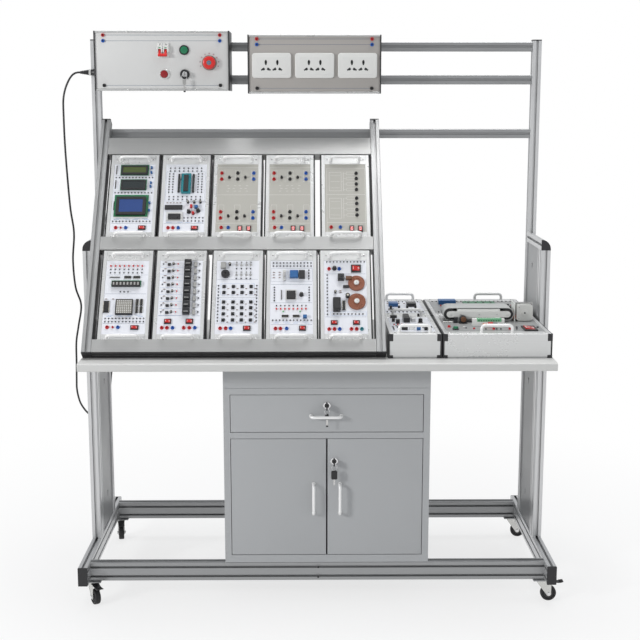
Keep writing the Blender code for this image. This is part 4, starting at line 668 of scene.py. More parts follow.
def printed(name, colour):
    return finish(name, colour, 0.5, (1600, 0.12), bump=0.0)


def clear_cover(name, colour, roughness, grain, mottle=(40, 0.12), coat=0.5, glow=None):
    """A lens or a screen: smooth, with a clear coat."""
    return finish(name, colour, roughness, grain, mottle, 0.0, coat=coat, glow=glow)


def button_plastic(name, colour, roughness=0.26):
    return finish(name, colour, roughness, (700, 0.08), (60, 0.1), 0.05)


def face_paint(name, colour, roughness, mottle):
    return finish(name, colour, roughness, (1200, 0.05), mottle, 0.04)


pale_panel = finish("pale_module_panel", (0.74, 0.755, 0.8), 0.38, (1300, 0.05), (18, 0.05))
taupe_panel = finish("taupe_module_panel", (0.42, 0.41, 0.37), 0.4, (1300, 0.07), (18, 0.06))
module_silver = finish(
    "module_rim_silver", (0.66, 0.665, 0.66), 0.3, (1200, 0.05), (9, 0.08), 0.006, metallic=0.4,
    stretch=along_x, streak=0.12,
)
module_black = finish("module_side_black", (0.017, 0.017, 0.019), 0.36, (1500, 0.12), (20, 0.1), 0.04)
module_back = finish(
    "module_back_steel", (0.42, 0.43, 0.43), 0.42, (900, 0.08), (12, 0.1), 0.03, metallic=0.5
)
handle_white = finish(
    "satin_white_handle", (0.86, 0.86, 0.85), 0.24, (1200, 0.04), (30, 0.06), metallic=0.1
)
print_dark = printed("panel_print_dark", (0.1, 0.14, 0.2))
print_white = printed("panel_print_white", (0.72, 0.72, 0.7))
print_blue = printed("panel_print_blue", (0.06, 0.22, 0.5))
board_green = finish("circuit_board_green", (0.015, 0.16, 0.065), 0.35, (700, 0.25), (120, 0.3), 0.05)
chip_black = finish("chip_black", (0.012, 0.012, 0.013), 0.45, (1500, 0.15), (60, 0.12), 0.05)
contact_metal = moulded("contact_metal", (0.66, 0.63, 0.55), bump=0.03, metallic=0.95)
steel = moulded("screw_steel", (0.58, 0.58, 0.57), bump=0.03, metallic=0.95)
socket_red = moulded("socket_red", (0.5, 0.01, 0.014))
socket_blue = moulded("socket_blue", (0.012, 0.095, 0.42))
socket_green = moulded("socket_green", (0.01, 0.26, 0.075))
socket_dark = moulded("socket_dark", (0.045, 0.048, 0.055), 0.35)
socket_teal = moulded("socket_teal", (0.01, 0.2, 0.24), 0.3)
# The rockers' red glows faintly: painted glow, standing in for the bright reflections on the paddles.
rocker_red_painted_glow = finish("painted_glow_rocker_red", (0.5, 0.01, 0.007), 0.22, (900, 0.06), (90, 0.25), coat=0.4, glow=0.1)
lamp_red = clear_cover("lamp_red", (0.6, 0.02, 0.015), 0.18, (900, 0.06), (60, 0.15), 0.4)
lamp_green = clear_cover("lamp_green", (0.03, 0.42, 0.08), 0.18, (900, 0.06), (60, 0.15), 0.4)
screen_green = clear_cover("screen_olive", (0.06, 0.09, 0.016), 0.16, (400, 0.1))
screen_dark = clear_cover("screen_dark", (0.012, 0.02, 0.022), 0.12, (400, 0.12))
screen_blue = clear_cover("screen_blue", (0.014, 0.05, 0.2), 0.14, (400, 0.1), (30, 0.15), glow=0.04)
segment_black = clear_cover("segment_window", (0.045, 0.042, 0.04), 0.2, (500, 0.1), (50, 0.1), 0.4)
matrix_grey = finish("dot_matrix_grey", (0.22, 0.21, 0.185), 0.3, (500, 0.1), (50, 0.1), 0.0)
relay_blue = moulded("relay_blue", (0.02, 0.11, 0.3), 0.32, (60, 0.1))
relay_black = moulded("relay_black", (0.02, 0.02, 0.022), 0.3, (60, 0.1))
copper = finish("copper_disc", (0.27, 0.105, 0.065), 0.3, (700, 0.1), (30, 0.2), 0.04, metallic=0.55)
white_plastic = finish("white_plastic", (0.7, 0.7, 0.68), 0.34, (1100, 0.05), (20, 0.05))
key_grey = finish("key_grey", (0.34, 0.34, 0.33), 0.4, (1100, 0.08), (40, 0.06))
brown_plastic = finish("phenolic_brown", (0.13, 0.055, 0.022), 0.4, (900, 0.1), (60, 0.12), 0.03)
wire_orange = moulded("wire_orange", (0.72, 0.16, 0.02), 0.4, (60, 0.1))

lip_silver = finish(
    "rolled_lip_silver", (0.52, 0.525, 0.52), 0.28, (1200, 0.05), (6, 0.08), 0.006, metallic=0.6,
    stretch=along_x, streak=0.14,
)
supply_paint = face_paint("supply_face_paint", (0.62, 0.62, 0.61), 0.38, (4, 0.06))
outlet_paint = face_paint("outlet_face_paint", (0.375, 0.355, 0.335), 0.4, (4, 0.07))
lever_red = button_plastic("lever_red", (0.62, 0.018, 0.016), 0.32)
button_green = button_plastic("button_green", (0.01, 0.17, 0.075))
button_red = button_plastic("button_dark_red", (0.27, 0.008, 0.012))
grey_panel = finish("grey_lid_panel", (0.3, 0.304, 0.3), 0.4, (1200, 0.06), (5, 0.08), 0.03)
conveyor_white = finish("conveyor_white", (0.72, 0.725, 0.7), 0.34, (900, 0.06), (12, 0.06), 0.03)
motor_grey = finish(
    "motor_light_grey", (0.58, 0.585, 0.56), 0.36, (900, 0.06), (12, 0.06), 0.03, metallic=0.25
)
strip_green = finish("strip_green", (0.16, 0.46, 0.24), 0.4, (700, 0.08), (60, 0.1), 0.03)
bright_ring = finish("bright_ring", (0.8, 0.8, 0.79), 0.12, (900, 0.05), (40, 0.05), 0.01, metallic=0.6)
print_red = finish("print_red", (0.55, 0.05, 0.05), 0.5, (700, 0.1), (60, 0.1), 0.0)

# Small parts, each modelled once with its foot on z = 0


def make_socket(name, colour, radius, height, sides=10):
    """A round socket: a collar and a bore."""
    piece = rod(name, colour, radius, 0, height, sides)
    sink(piece, radius * 0.42, height * 0.7, chip_black)
    return small_part(name, [piece])


def make_power_socket(name, colour):
    """A safety socket with a flange, a turned collar and a dark bore."""
    flange = rod("flange", colour, 0.0058, 0, 0.0016, 16, 0.0004, 1)
    collar = rod("collar", colour, 0.0045, 0.001, 0.0062, 16, 0.0005, 1)
    sink(collar, 0.0014, 0.0045, chip_black)
    return small_part(name, [flange, collar])


def make_rocker():
    """A rocker in its black frame: 24 by 16 mm, with a tilted paddle and two plain marks."""
    frame_block = block("frame", chip_black, (-0.012, -0.008, 0), (0.012, 0.008, 0.0035), 0.0006, 1)
    sink(frame_block, 0.0026, 0.0015)
    paddle = block("paddle", rocker_red_painted_glow, (-0.0088, -0.0049, 0.001), (0.0088, 0.0049, 0.0048), 0.0005, 1)
    shift_top(paddle, (0, 0, 0.002), lambda corner: corner.x < -0.006 and corner.z > 0.003)
    shift_top(paddle, (0, 0, -0.0012), lambda corner: corner.x > 0.006 and corner.z > 0.003)
    stroke = block("stroke", print_white, (-0.007, -0.0028, 0.0062), (-0.006, 0.0028, 0.0066))
    ring = rod("ring", print_white, 0.0021, 0.0036, 0.0044, 12)
    sink(ring, 0.0007, 0.0003, rocker_red_painted_glow)
    ring.data.transform(shift(0.0058, 0))
    return small_part("rocker", [frame_block, paddle, stroke, ring])


def make_chip():
    """A chip in its socket, 20 by 8 mm, with a notch and two rows of legs."""
    body = block("body", chip_black, (-0.01, -0.003, 0.0016), (0.01, 0.003, 0.005), 0.0004, 1)
    carrier = block("carrier", relay_black, (-0.0106, -0.004, 0), (0.0106, 0.004, 0.0022), 0.0003, 1)
    legs = [carrier, body]
    for side in (-1, 1):
        middle = side * 0.0037
        low, high = (-0.0096, middle - 0.0004, 0.0015), (0.0096, middle + 0.0004, 0.003)
        legs.append(block("legs", contact_metal, low, high))
    notch = rod("notch", screen_dark, 0.0009, 0.0048, 0.00515, 8)
    notch.data.transform(shift(-0.0088, 0))
    return small_part("chip", legs + [notch])


def make_lamp(name, colour):
    lens = rod(name, colour, 0.0022, 0, 0.0046, 8, 0.0014, 2)
    return small_part(name, [lens])


def make_tact_key():
    """A square tact switch with a round cap."""
    seat = block("seat", chip_black, (-0.0045, -0.0045, 0), (0.0045, 0.0045, 0.0032), 0.0005, 1)
    cap = rod("cap", relay_black, 0.0028, 0.003, 0.0062, 10, 0.0004, 1)
    return small_part("tact_key", [seat, cap])


def make_toggle_switch():
    """A little toggle: nut, bush and a lever that leans up."""
    nut = rod("nut", steel, 0.0042, 0, 0.0018, 6, 0.0003, 1)
    bush = rod("bush", steel, 0.0028, 0.001, 0.0046, 10, 0.0003, 1)
    lever = rod("lever", steel, 0.0012, 0.004, 0.0125, 8, 0.0006, 2)
    shift_top(lever, (0, 0.0028, 0), lambda corner: corner.z > 0.009)
    return small_part("toggle_switch", [nut, bush, lever])


def make_knob(name, colour, radius=0.0062):
    """A turned knob with a skirt, a flat cap and a pointer line."""
    skirt = rod("skirt", chip_black, radius * 1.15, 0, 0.002, 16, 0.0004, 1)
    profile = ((radius, 0.002), (radius * 0.92, 0.01), (radius * 0.8, 0.0115), (radius * 0.5, 0.012))
    grip = turned("grip", colour, profile, 16)
    line = block("line", print_white, (-0.0003, 0.001, 0.0115), (0.0003, radius * 0.75, 0.0122))
    return small_part(name, [skirt, grip, line])


def make_relay():
    """A cube relay, 22 by 19 mm, with a moulded lid edge."""
    body = block("relay_body", relay_black, (-0.011, -0.0095, 0), (0.011, 0.0095, 0.015), 0.0008, 2)
    sink(body, 0.0016, -0.0004)
    return small_part("relay", [body])


def make_header():
    """A pin header, 20 mm long, with eight metal pins."""
    bar = block("bar", chip_black, (-0.01, -0.00125, 0), (0.01, 0.00125, 0.0026), 0.0003, 1)
    pieces = [bar]
    for index in range(8):
        x = -0.0088 + 0.0025 * index
        low, high = (x - 0.0003, -0.0003, 0.002), (x + 0.0003, 0.0003, 0.007)
        pieces.append(block("pin", contact_metal, low, high))
    return small_part("header", pieces)


def make_screw():
    """A pan-head screw with a slot."""
    head = rod("head", steel, 0.003, 0, 0.0018, 12, 0.0007, 2)
    slot = block("slot", chip_black, (-0.0022, -0.0003, 0.0016), (0.0022, 0.0003, 0.00185))
    return small_part("panel_screw", [head, slot])


def make_capacitor(name, colour, radius=0.004, height=0.011):
    can = rod(name, colour, radius, 0, height, 12, 0.0006, 1)
    sink(can, radius * 0.25, 0.0004, contact_metal)
    return small_part(name, [can])


def make_resistor():
    """A wire-ended resistor lying flat, with its leads."""
    lead = block("lead", contact_metal, (-0.0055, -0.00025, 0.0008), (0.0055, 0.00025, 0.0013))
    body = block("body", brown_plastic, (-0.003, -0.001, 0.0002), (0.003, 0.001, 0.0022), 0.0006, 1)
    return small_part("resistor", [lead, body])


def make_bow_handle():
    """A bow handle along x on two round feet: up, round, across, round and down."""
    half = 0.103 / 2 - 0.0045
    bend = 0.011
    straight = 0.022 - bend
    bpy.ops.object.select_all(action="DESELECT")
    bpy.ops.mesh.primitive_circle_add(vertices=14, radius=0.0048, location=(-half, 0, -hair))
    bow = settle("bow", handle_white)
    bpy.ops.object.mode_set(mode="EDIT")
    bpy.ops.mesh.select_all(action="SELECT")
    bpy.ops.mesh.edge_face_add()
    draw_out(0, 0, straight + hair)
    bpy.ops.mesh.spin(steps=5, angle=-quarter, center=(-half + bend, 0, straight), axis=(0, 1, 0))
    draw_out(2 * (half - bend), 0, 0)
    bpy.ops.mesh.spin(steps=5, angle=-quarter, center=(half - bend, 0, straight), axis=(0, 1, 0))
    draw_out(0, 0, -straight - hair)
    bpy.ops.mesh.select_all(action="SELECT")
    bpy.ops.mesh.remove_doubles(threshold=0.00001)
    bpy.ops.mesh.normals_make_consistent(inside=False)
    bpy.ops.object.mode_set(mode="OBJECT")
    pieces = [bow]
    for side in (-1, 1):
        foot = rod("foot", handle_white, 0.0058, 0, 0.0022, 14, 0.0007, 2)
        foot.data.transform(shift(side * half, 0))
        pieces.append(foot)
    return small_part("bow_handle", pieces)


dark_socket = make_socket("dark_socket", socket_dark, 0.0022, 0.0026, 8)
red_tip = make_socket("red_tip", socket_red, 0.0034, 0.004)
black_socket = make_power_socket("black_power_socket", chip_black)
red_socket = make_power_socket("red_power_socket", socket_red)
blue_socket = make_power_socket("blue_power_socket", socket_blue)
teal_socket = make_power_socket("teal_power_socket", socket_teal)
rocker = make_rocker()
chip = make_chip()
red_lamp = make_lamp("red_lamp", lamp_red)
green_lamp = make_lamp("green_lamp", lamp_green)
tact_key = make_tact_key()
toggle_switch = make_toggle_switch()
black_knob = make_knob("black_knob", chip_black)
red_knob = make_knob("red_knob", socket_red, 0.0048)
relay = make_relay()
header = make_header()
screw = make_screw()
can_capacitor = make_capacitor("can_capacitor", chip_black)
resistor = make_resistor()
bow_handle = make_bow_handle()


def make_cap(name, paint_on):
    """A small push cap in a black collar."""
    collar = ((0.0105, 0), (0.0105, 0.003), (0.0098, 0.0036), (0.0004, 0.0036))
    cap = ((0.008, 0.003), (0.008, 0.0085), (0.007, 0.0096), (0.0004, 0.0098))
    pieces = [turned("collar", chip_black, collar, 28), turned("cap", paint_on, cap, 28)]
    return small_part(name, pieces)


button_cap = make_cap("green_cap", button_green)
white_tip = make_socket("white_tip", white_plastic, 0.0045, 0.005)

# The plug-in modules: case, face and handles

face_width = 0.155
face_length = 0.328
side_plate = 0.0045
rim_width = 0.011
end_band = 0.0215 + 0.103 / 7
handle_inset = 0.0215
rack_depth_behind = 0.0705
table_depth_behind = 0.0755
lower_row_rise = 0.0278
upper_row_rise = 0.3871
hidden_foot = 0.0185
lean_drop = 0.489


def module_case(build, width, depth, panel, handles, handle_shift=0.0, flat_front=False):
    """Case, silver rims and end bands, black side plates, screws and bow handles."""
    half = width / 2
    high = (half - hair, face_length - 0.0004, -0.003)
    build.block("case", module_back, (-half + hair, 0.0004, -depth), high)
    low = (-half + rim_width - 0.001, end_band - 0.001, -0.004)
    high = (half - rim_width + 0.001, face_length - end_band + 0.001, panel_depth)
    build.block("panel", panel, low, high)
    for side in (-1, 1):
        left, right = sorted((side * (half - rim_width), side * half))
        build.block("rim", module_silver, (left, 0, -0.012), (right, face_length, 0), 0.0005, 1)
        left, right = sorted((side * half, side * (half + side_plate)))
        build.block("side plate", module_black, (left, 0, -depth), (right, face_length, -0.002), 0.0007, 2)
    inner = half - rim_width - 0.0002
    for start in (0, face_length - end_band):
        build.block("band", module_silver, (-inner, start, -0.012), (inner, start + end_band, 0), 0.0006, 1)
        for side in (-1, 1):
            build.put(screw, side * (inner - 0.007), start + end_band / 2, 0, 0.6 * side)
    for height in handles:
        build.put(bow_handle, handle_shift, height)
    if flat_front:
        dress_front(build, half, depth)


def dress_front(build, half, depth):
    """The silver front of a module that lies on the table, with black corner blocks and feet."""
    low, high = (-half + 0.001, -0.0012, -depth + 0.004), (half - 0.001, 0.003, -0.001)
    build.block("front", module_silver, low, high, 0.0006, 1)
    for side in (-1, 1):
        left, right = sorted((side * (half - rim_width), side * (half + side_plate)))
        build.block("corner", module_black, (left, -0.0016, -0.023), (right, 0.011, -0.0004), 0.0009, 2)
        build.block("foot", module_black, (left, -0.0014, -depth), (right, 0.012, -depth + 0.01), 0.0009, 2)


printed_span = (14, 141)


def print_frame(build, left, right, low, high, colour, thick=0.7):
    """Four thin printed lines round a group of sockets."""
    for along in (low, high):
        build.slab(colour, left, right, along - thick / 2, along + thick / 2, print_level, 0)
    for across in (left, right):
        build.slab(colour, across - thick / 2, across + thick / 2, low, high, print_level, 0)


def print_line(build, left, right, along, colour, thick=0.7):
    build.slab(colour, left, right, along - thick / 2, along + thick / 2, print_level, 0)


def print_across(build, colour, thick, *levels):
    """Lines printed across the whole face of a narrow module, one at each level."""
    for along in levels:
        print_line(build, *printed_span, along, colour, thick)


def print_marks(build, left, right, low, high, colour, rows, share=0.55):
    """Rows of short printed dashes where the real panel has its circuit print."""
    pitch = (high - low) / rows
    length = (right - left) * share / 4
    for index in range(rows):
        along = low + pitch * (index + 0.5)
        for step in range(4):
            start = left + (right - left) * (step + 0.12 + 0.2 * ((index + step) % 2)) / 4
            build.slab(colour, start, start + length, along - 0.4, along + 0.4, print_level, 0)


def display(build, glass, left, right, low, high, rim=4.0, height=0.008, board=None, margin=3.0):
    """A screen module: a circuit board, a black bezel and a sunk glass."""
    if board:
        build.slab(board, left - margin, right + margin, low - margin, high + margin, 0.003)
    lower = (*build.at(left, low, height), 0.001)
    bezel = block("bezel", chip_black, lower, (*build.at(right, high, height), height), 0.0006, 1)
    sink(bezel, rim * mm, 0.0012, glass)
    build.keep(bezel)


def power_row(build, along, sockets):
    """Supply sockets side by side."""
    for part, across in sockets:
        build.set(part, across, along)


rocker_long, rocker_wide, rocker_lift = 24, 16, 1.15


def set_rocker(build, left, right, low, high, standing=False):
    """A rocker sized to its cut-out, lying across the module or standing."""
    across = (left + right) / 2
    along = (low + high) / 2
    reach, depth = (high - low, right - left) if standing else (right - left, high - low)
    size = (reach / rocker_long, depth / rocker_wide, rocker_lift)
    build.set(rocker, across, along, quarter if standing else 0.0, size)


def dress_display(build):
    display(build, screen_green, 35, 121, 235, 268, 5.0, 0.009, board_green)
    display(build, screen_dark, 37, 117, 178, 213, 4.0, 0.009, board_green, 2.5)
    display(build, screen_blue, 27, 122, 82, 149, 9.0, 0.011, board_green, 7.0)
    build.slab(white_plastic, 22, 128, 70.5, 73.5, 0.0035)
    for along in (251, 196, 115):
        build.set(header, 18.5, along, quarter, (1.6, 1, 1))
    for along in (243, 262, 190, 204, 100, 128):
        build.slab(relay_blue, 130, 136, along - 3, along + 3, 0.008)
    build.rows(dark_socket, 19, 137, 12, 222, 164, 57)
    print_marks(build, 18, 138, 62, 70, print_blue, 2)
    print_across(build, print_dark, 0.7, 49)
    print_across(build, print_dark, 0.5, 229, 171)
    power_row(build, 33.5, ((red_socket, 30), (red_tip, 46), (blue_socket, 62)))
    set_rocker(build, 101, 125, 25, 41)


def dress_controller(build):
    build.rows(dark_socket, 26, 127, 8, 258, 247)
    for left, right in ((53, 59), (100, 106)):
        build.slab(chip_black, left, right, 168, 236, 0.006)
    build.slabs(
        (socket_teal, 64, 95, 164, 238, 0.0085, 0.0012),
        (chip_black, 72, 87, 170, 232, 0.0125, 0.0008),
        (steel, 61, 63.5, 218, 236, 0.011),
    )
    for across in (24, 36, 118, 130):
        build.column(dark_socket, across, 166, 236, 8)
    build.rows(dark_socket, 26, 127, 8, 149, 139)
    build.slab(chip_black, 15, 71, 103, 118, 0.006, 0.0008)
    build.row(resistor, 22, 64, 126, 5)
    build.slab(module_silver, 20, 74, 60, 92, 0.003, 0.0008)
    build.slab(relay_black, 27, 67, 66, 86, 0.009, 0.0015)
    for across in (23.5, 70.5):
        build.set(screw, across, 76, 0.4)
    build.sets(
        (black_knob, 92, 92),
        (red_knob, 106, 86),
        (black_knob, 122, 96),
    )
    build.slab(socket_red, 96, 103, 110, 120, 0.009)
    build.slab(relay_blue, 110, 121, 108, 118, 0.01)
    build.row(can_capacitor, 88, 128, 127, 3)
    build.rows(dark_socket, 78, 138, 6, 70, 58)
    print_marks(build, 18, 138, 50, 56, print_blue, 1)
    print_across(build, print_dark, 0.7, 49)
    print_frame(build, 14, 141, 132, 244, print_dark, 0.5)
    power_row(build, 33, ((red_socket, 28.5), (red_socket, 44), (blue_socket, 61)))
    set_rocker(build, 101, 124, 24, 39.5)


def dress_supply(build):
    print_frame(build, 12, 145, 21, 260, print_white)
    print_line(build, 12, 145, 50, print_white)
    print_line(build, 12, 145, 156, print_white)
    for across in (18, 70, 122):
        for low, high in ((60, 118), (206, 250)):
            print_frame(build, across, across + 18, low, high, print_white, 0.5)
    for along in (239, 216, 92, 69):
        power_row(build, along, ((red_socket, 26), (black_socket, 78), (blue_socket, 130)))
    for across in (51, 103):
        for along in (222, 76):
            build.set(black_knob, across, along, 0, (0.65, 0.65, 0.8))
    print_marks(build, 40, 118, 165, 196, print_white, 3, 0.4)
    power_row(build, 34, ((red_socket, 30), (blue_socket, 52)))
    print_frame(build, 22, 60, 26, 42, print_white, 0.5)
    set_rocker(build, 81, 97, 18, 40, True)
    set_rocker(build, 109, 125, 18, 40, True)


def dress_dual_supply(build):
    print_frame(build, 17, 141, 16, 258, print_white)
    print_line(build, 17, 141, 157, print_white)
    print_line(build, 17, 141, 52, print_white)
    for low, high in ((171, 242), (68, 143)):
        print_frame(build, 25, 64, low, high, print_white)
        print_line(build, 64, 71, (low + high) / 2, print_white, 0.5)
        build.slab(print_white, 70.6, 71.4, low, high, print_level, 0)
        for share in (0.16, 0.5, 0.84):
            print_line(build, 29, 60, low + (high - low) * share, print_white, 0.5)
    for along in (238, 218, 197, 176, 143, 123, 100, 80):
        print_frame(build, 81, 106, along - 5, along + 5, print_white, 0.5)
        print_line(build, 71, 81, along, print_white, 0.5)
        build.set(black_socket, 113, along)
    power_row(build, 35, ((red_socket, 30), (blue_socket, 59)))
    set_rocker(build, 88, 103, 17, 40, True)
    set_rocker(build, 115, 131, 17, 40, True)


def dress_indicator(build):
    build.row(red_lamp, 25, 123, 254, 8, (1.25, 1.25, 1.1))
    build.rows(dark_socket, 25, 123, 8, 242, 230)
    display(build, segment_black, 33, 121, 184, 201, 2.2, 0.01, board_green, 2.0)
    for index in range(8):
        across = 38.5 + 10.9 * index
        build.slab(key_grey, across - 2.4, across + 2.4, 187.5, 197.5, 0.0091, 0)
    build.sets(
        (header, 40, 214, 0.0, (1.6, 1, 1)),
        (chip, 80, 214),
        (chip, 108, 214),
    )
    build.row(dark_socket, 60, 84, 163, 3)
    print_across(build, print_dark, 0.7, 156)
    print_across(build, print_dark, 0.5, 222)
    build.set(chip, 20.5, 111, quarter, (1.9, 2.4, 1))
    build.row(resistor, 18, 40, 138, 2)
    display(build, matrix_grey, 50, 103, 87, 138, 1.5, 0.011)
    for column in range(8):
        for line in range(8):
            left = 54.1 + 5.9 * column
            low = 91 + 5.7 * line
            build.slab(white_plastic, left, left + 2.8, low, low + 2.8, 0.0101, 0)
    for along in (101, 126):
        for across in (115, 128):
            build.set(chip, across, along, quarter, (1.05, 1.1, 1))
    build.rows(dark_socket, 20, 138, 12, 71, 60)
    print_marks(build, 18, 138, 76, 84, print_blue, 2)
    print_across(build, print_dark, 0.7, 54)
    power_row(build, 41, ((red_socket, 28), (red_tip, 45), (blue_socket, 61)))
    set_rocker(build, 99, 124, 32, 47)


def dress_relay(build):
    for index in range(8):
        along = 261 - 24 * index
        build.set(dark_socket, 21, along)
        build.slab(chip_black, 35, 45, along - 3.5, along + 3.5, 0.006, 0.0006)
        build.sets(
            (can_capacitor, 53, along, 0, (0.9, 0.9, 0.7)),
            (red_lamp, 67, along),
            (resistor, 28, along + 7),
            (relay, 99, along, 0, (1.0, 1.1, 1)),
        )
        build.slab(key_grey, 92, 106, along + 2, along + 4, 0.0166, 0)
        build.slab(key_grey, 118, 127, along - 8, along + 8, 0.006, 0.0006)
        build.set(dark_socket, 135, along)
        print_line(build, 14, 84, along - 12, print_blue, 0.4)
    print_across(build, print_dark, 0.7, 80)
    set_rocker(build, 33, 55, 52, 69)
    set_rocker(build, 99, 122, 52, 69)
    power_row(build, 39, ((red_socket, 27), (red_socket, 43), (blue_socket, 60)))
    power_row(build, 39, ((red_socket, 94), (red_socket, 111), (blue_socket, 128)))


def dress_keypad(build):
    buzzer = (
        (0.0134, 0), (0.0134, 0.0085), (0.0124, 0.0098), (0.004, 0.01), (0.0036, 0.008), (0.0004, 0.0078)
    )
    build.turned("buzzer", relay_black, buzzer, 28, shift(*build.at(39, 224), panel_depth))
    build.slab(key_grey, 24, 40, 247, 268, 0.008, 0.0008)
    build.set(can_capacitor, 52, 258)
    for along in (257, 222):
        for across in (73, 88, 104, 117):
            build.sets(
                (toggle_switch, across, along),
                (dark_socket, across, along - 13),
                (dark_socket, across, along + 9),
            )
    for along in (181, 160, 127, 107, 86, 65):
        for across in (36, 65, 92, 120):
            build.set(tact_key, across, along, 0, (1.15, 1.15, 1))
            build.set(resistor, across + 13, along - 7, 0, (0.8, 1, 1))
    for across in (18.5, 137.5):
        build.column(dark_socket, across, 62, 184, 12)
    print_across(build, print_dark, 0.7, 206, 143, 52)
    print_frame(build, 26, 130, 57, 137, print_blue, 0.4)
    print_frame(build, 26, 130, 151, 191, print_blue, 0.4)
    power_row(build, 37, ((red_socket, 28), (red_socket, 45), (blue_socket, 60)))
    set_rocker(build, 98, 121, 28, 45)


def dress_signal(build):
    build.rows(dark_socket, 20, 138, 12, 264, 253)
    print_frame(build, 13, 142, 199, 245, print_dark, 0.5)
    build.rows(resistor, 22, 40, 2, 212, 222, 231)
    build.slabs(
        (module_silver, 50, 60, 205, 240, 0.01, 0.0015),
        (steel, 52, 58, 210, 234, 0.013, 0.0015),
        (relay_blue, 72, 98, 214, 239, 0.01, 0.001),
    )
    for across in (77, 85, 93):
        build.set(screw, across, 228, 0.5 * across, (0.7, 0.7, 6.0))
    build.slab(relay_black, 100, 119, 214, 239, 0.013, 0.001)
    build.column(dark_socket, 131, 208, 238, 4)
    print_across(build, print_dark, 0.7, 188)
    build.slab(module_silver, 58, 93, 135, 171, 0.002)
    build.slab(chip_black, 62, 90, 139, 167, 0.008, 0.001)
    build.set(header, 46, 152, quarter, (1.6, 1, 1))
    build.column(dark_socket, 24, 132, 178, 6)
    build.set(black_knob, 108, 152)
    build.column(dark_socket, 132, 132, 178, 6)
    print_across(build, print_dark, 0.7, 124)
    build.row(red_lamp, 31, 122, 103, 8, (1.25, 1.25, 1.1))
    build.row(dark_socket, 31, 122, 114, 8)
    build.sets(
        (green_lamp, 52, 94),
        (green_lamp, 104, 94),
        (chip, 58, 78),
        (chip, 92, 78),
    )
    build.slab(relay_blue, 113, 125, 74, 84, 0.009, 0.0008)
    build.row(dark_socket, 20, 138, 64, 12)
    print_marks(build, 18, 138, 52, 60, print_blue, 2)
    print_across(build, print_dark, 0.7, 49)
    power_row(build, 36, ((red_socket, 29), (red_socket, 44), (blue_socket, 63)))
    set_rocker(build, 101, 122, 28, 45)


def dress_motor(build):
    build.row(dark_socket, 20, 138, 268, 12)
    power_row(build, 243, ((red_socket, 27), (blue_socket, 59)))
    build.set(black_knob, 44, 244)
    set_rocker(build, 96, 127, 230, 257)
    for along, radius in ((191, 0.026), (127, 0.0275)):
        disc = (
            (radius, 0),
            (radius, 0.005),
            (radius - 0.001, 0.006),
            (radius * 0.62, 0.006),
            (radius * 0.6, 0.0052),
            (radius * 0.42, 0.0052),
            (radius * 0.4, 0.006),
            (0.001, 0.006),
        )
        hub = ((0.008, 0), (0.008, 0.0098), (0.0068, 0.0108), (0.0022, 0.0108), (0.002, 0.0088))
        middle = build.at(112, along)
        build.turned("disc", copper, disc, 40, shift(*middle, panel_depth))
        build.turned("hub", white_plastic, hub, 20, shift(*middle, panel_depth))
        build.put(screw, *middle, 0.0082, 0.3, (0.7, 0.7, 1))
    build.set(relay, 64, 210, 0, (0.9, 1.05, 1))
    build.slabs(
        (brown_plastic, 79, 98, 207, 218, 0.01, 0.0012),
        (relay_black, 70, 88, 179, 186, 0.009, 0.0008),
        (relay_black, 38, 62, 99, 144, 0.015, 0.0015),
        (chip_black, 41, 59, 104, 139, 0.0165, 0.001),
    )
    build.sets(
        (can_capacitor, 84, 146, 0, (1.7, 1.7, 1.2)),
        (chip, 72, 115, quarter, (1.5, 1.2, 1)),
        (can_capacitor, 46, 160),
        (resistor, 62, 160),
        (resistor, 62, 166),
    )
    build.column(dark_socket, 21, 84, 221, 13)
    build.row(dark_socket, 40, 130, 85, 9)
    print_frame(build, 30, 141, 80, 92, print_blue, 0.4)
    print_across(build, print_dark, 0.7, 75, 225)
    set_rocker(build, 31, 52, 48, 63)
    set_rocker(build, 99, 120, 48, 63)
    power_row(build, 34, ((red_socket, 26), (red_socket, 42), (blue_socket, 58)))
    power_row(build, 34, ((red_socket, 94), (red_socket, 110), (teal_socket, 126)))


rack_rows = (
    (
        upper_row_rise,
        (
            ("display", -0.671, pale_panel, dress_display),
            ("controller", -0.503, pale_panel, dress_controller),
            ("supply_a", -0.335, taupe_panel, dress_supply),
            ("supply_b", -0.165, taupe_panel, dress_supply),
            ("dual_supply", 0.0155, taupe_panel, dress_dual_supply),
        ),
    ),
    (
        lower_row_rise,
        (
            ("indicator", -0.671, pale_panel, dress_indicator),
            ("relay", -0.503, pale_panel, dress_relay),
            ("keypad", -0.3256, pale_panel, dress_keypad),
            ("signal", -0.1573, pale_panel, dress_signal),
            ("motor", 0.01, pale_panel, dress_motor),
        ),
    ),
)
both_handles = (handle_inset, face_length - handle_inset)

for row_rise, row in rack_rows:
    for name, left, panel, dress in row:
        corner = rack_face + rack_up * row_rise + Vector((left + face_width / 2, 0, 0))
        build = Assembly(Matrix.Translation(corner) @ rack_turn, face_width, hidden_foot, lean_drop)
        module_case(build, face_width, rack_depth_behind, panel, both_handles)
        dress(build)
        build.done(f"{name}_unit", "bench", "module_panel", f"{name}_module")

# The supply box and the outlet box, each in a frame with x across, y up and z out of its face

box_face_y = 0.0782
box_depth = 0.1275
box_plate = 0.004
box_lip = 0.006
supply_corner = (-0.716, 1.60504)
supply_size = (0.435, 0.188)
outlet_corner = (-0.2225, 1.59604)
outlet_size = (0.431, 0.185)
jack_inset = 0.03
jack_shares = ((0.087, black_socket), (0.835, blue_socket), (0.93, red_socket))


def face_frame(left, bottom, face_y):
    """A frame on a face that looks to the front."""
    return shift(left, face_y, bottom) @ spun(quarter, "X")


supply_frame = face_frame(*supply_corner, box_face_y)


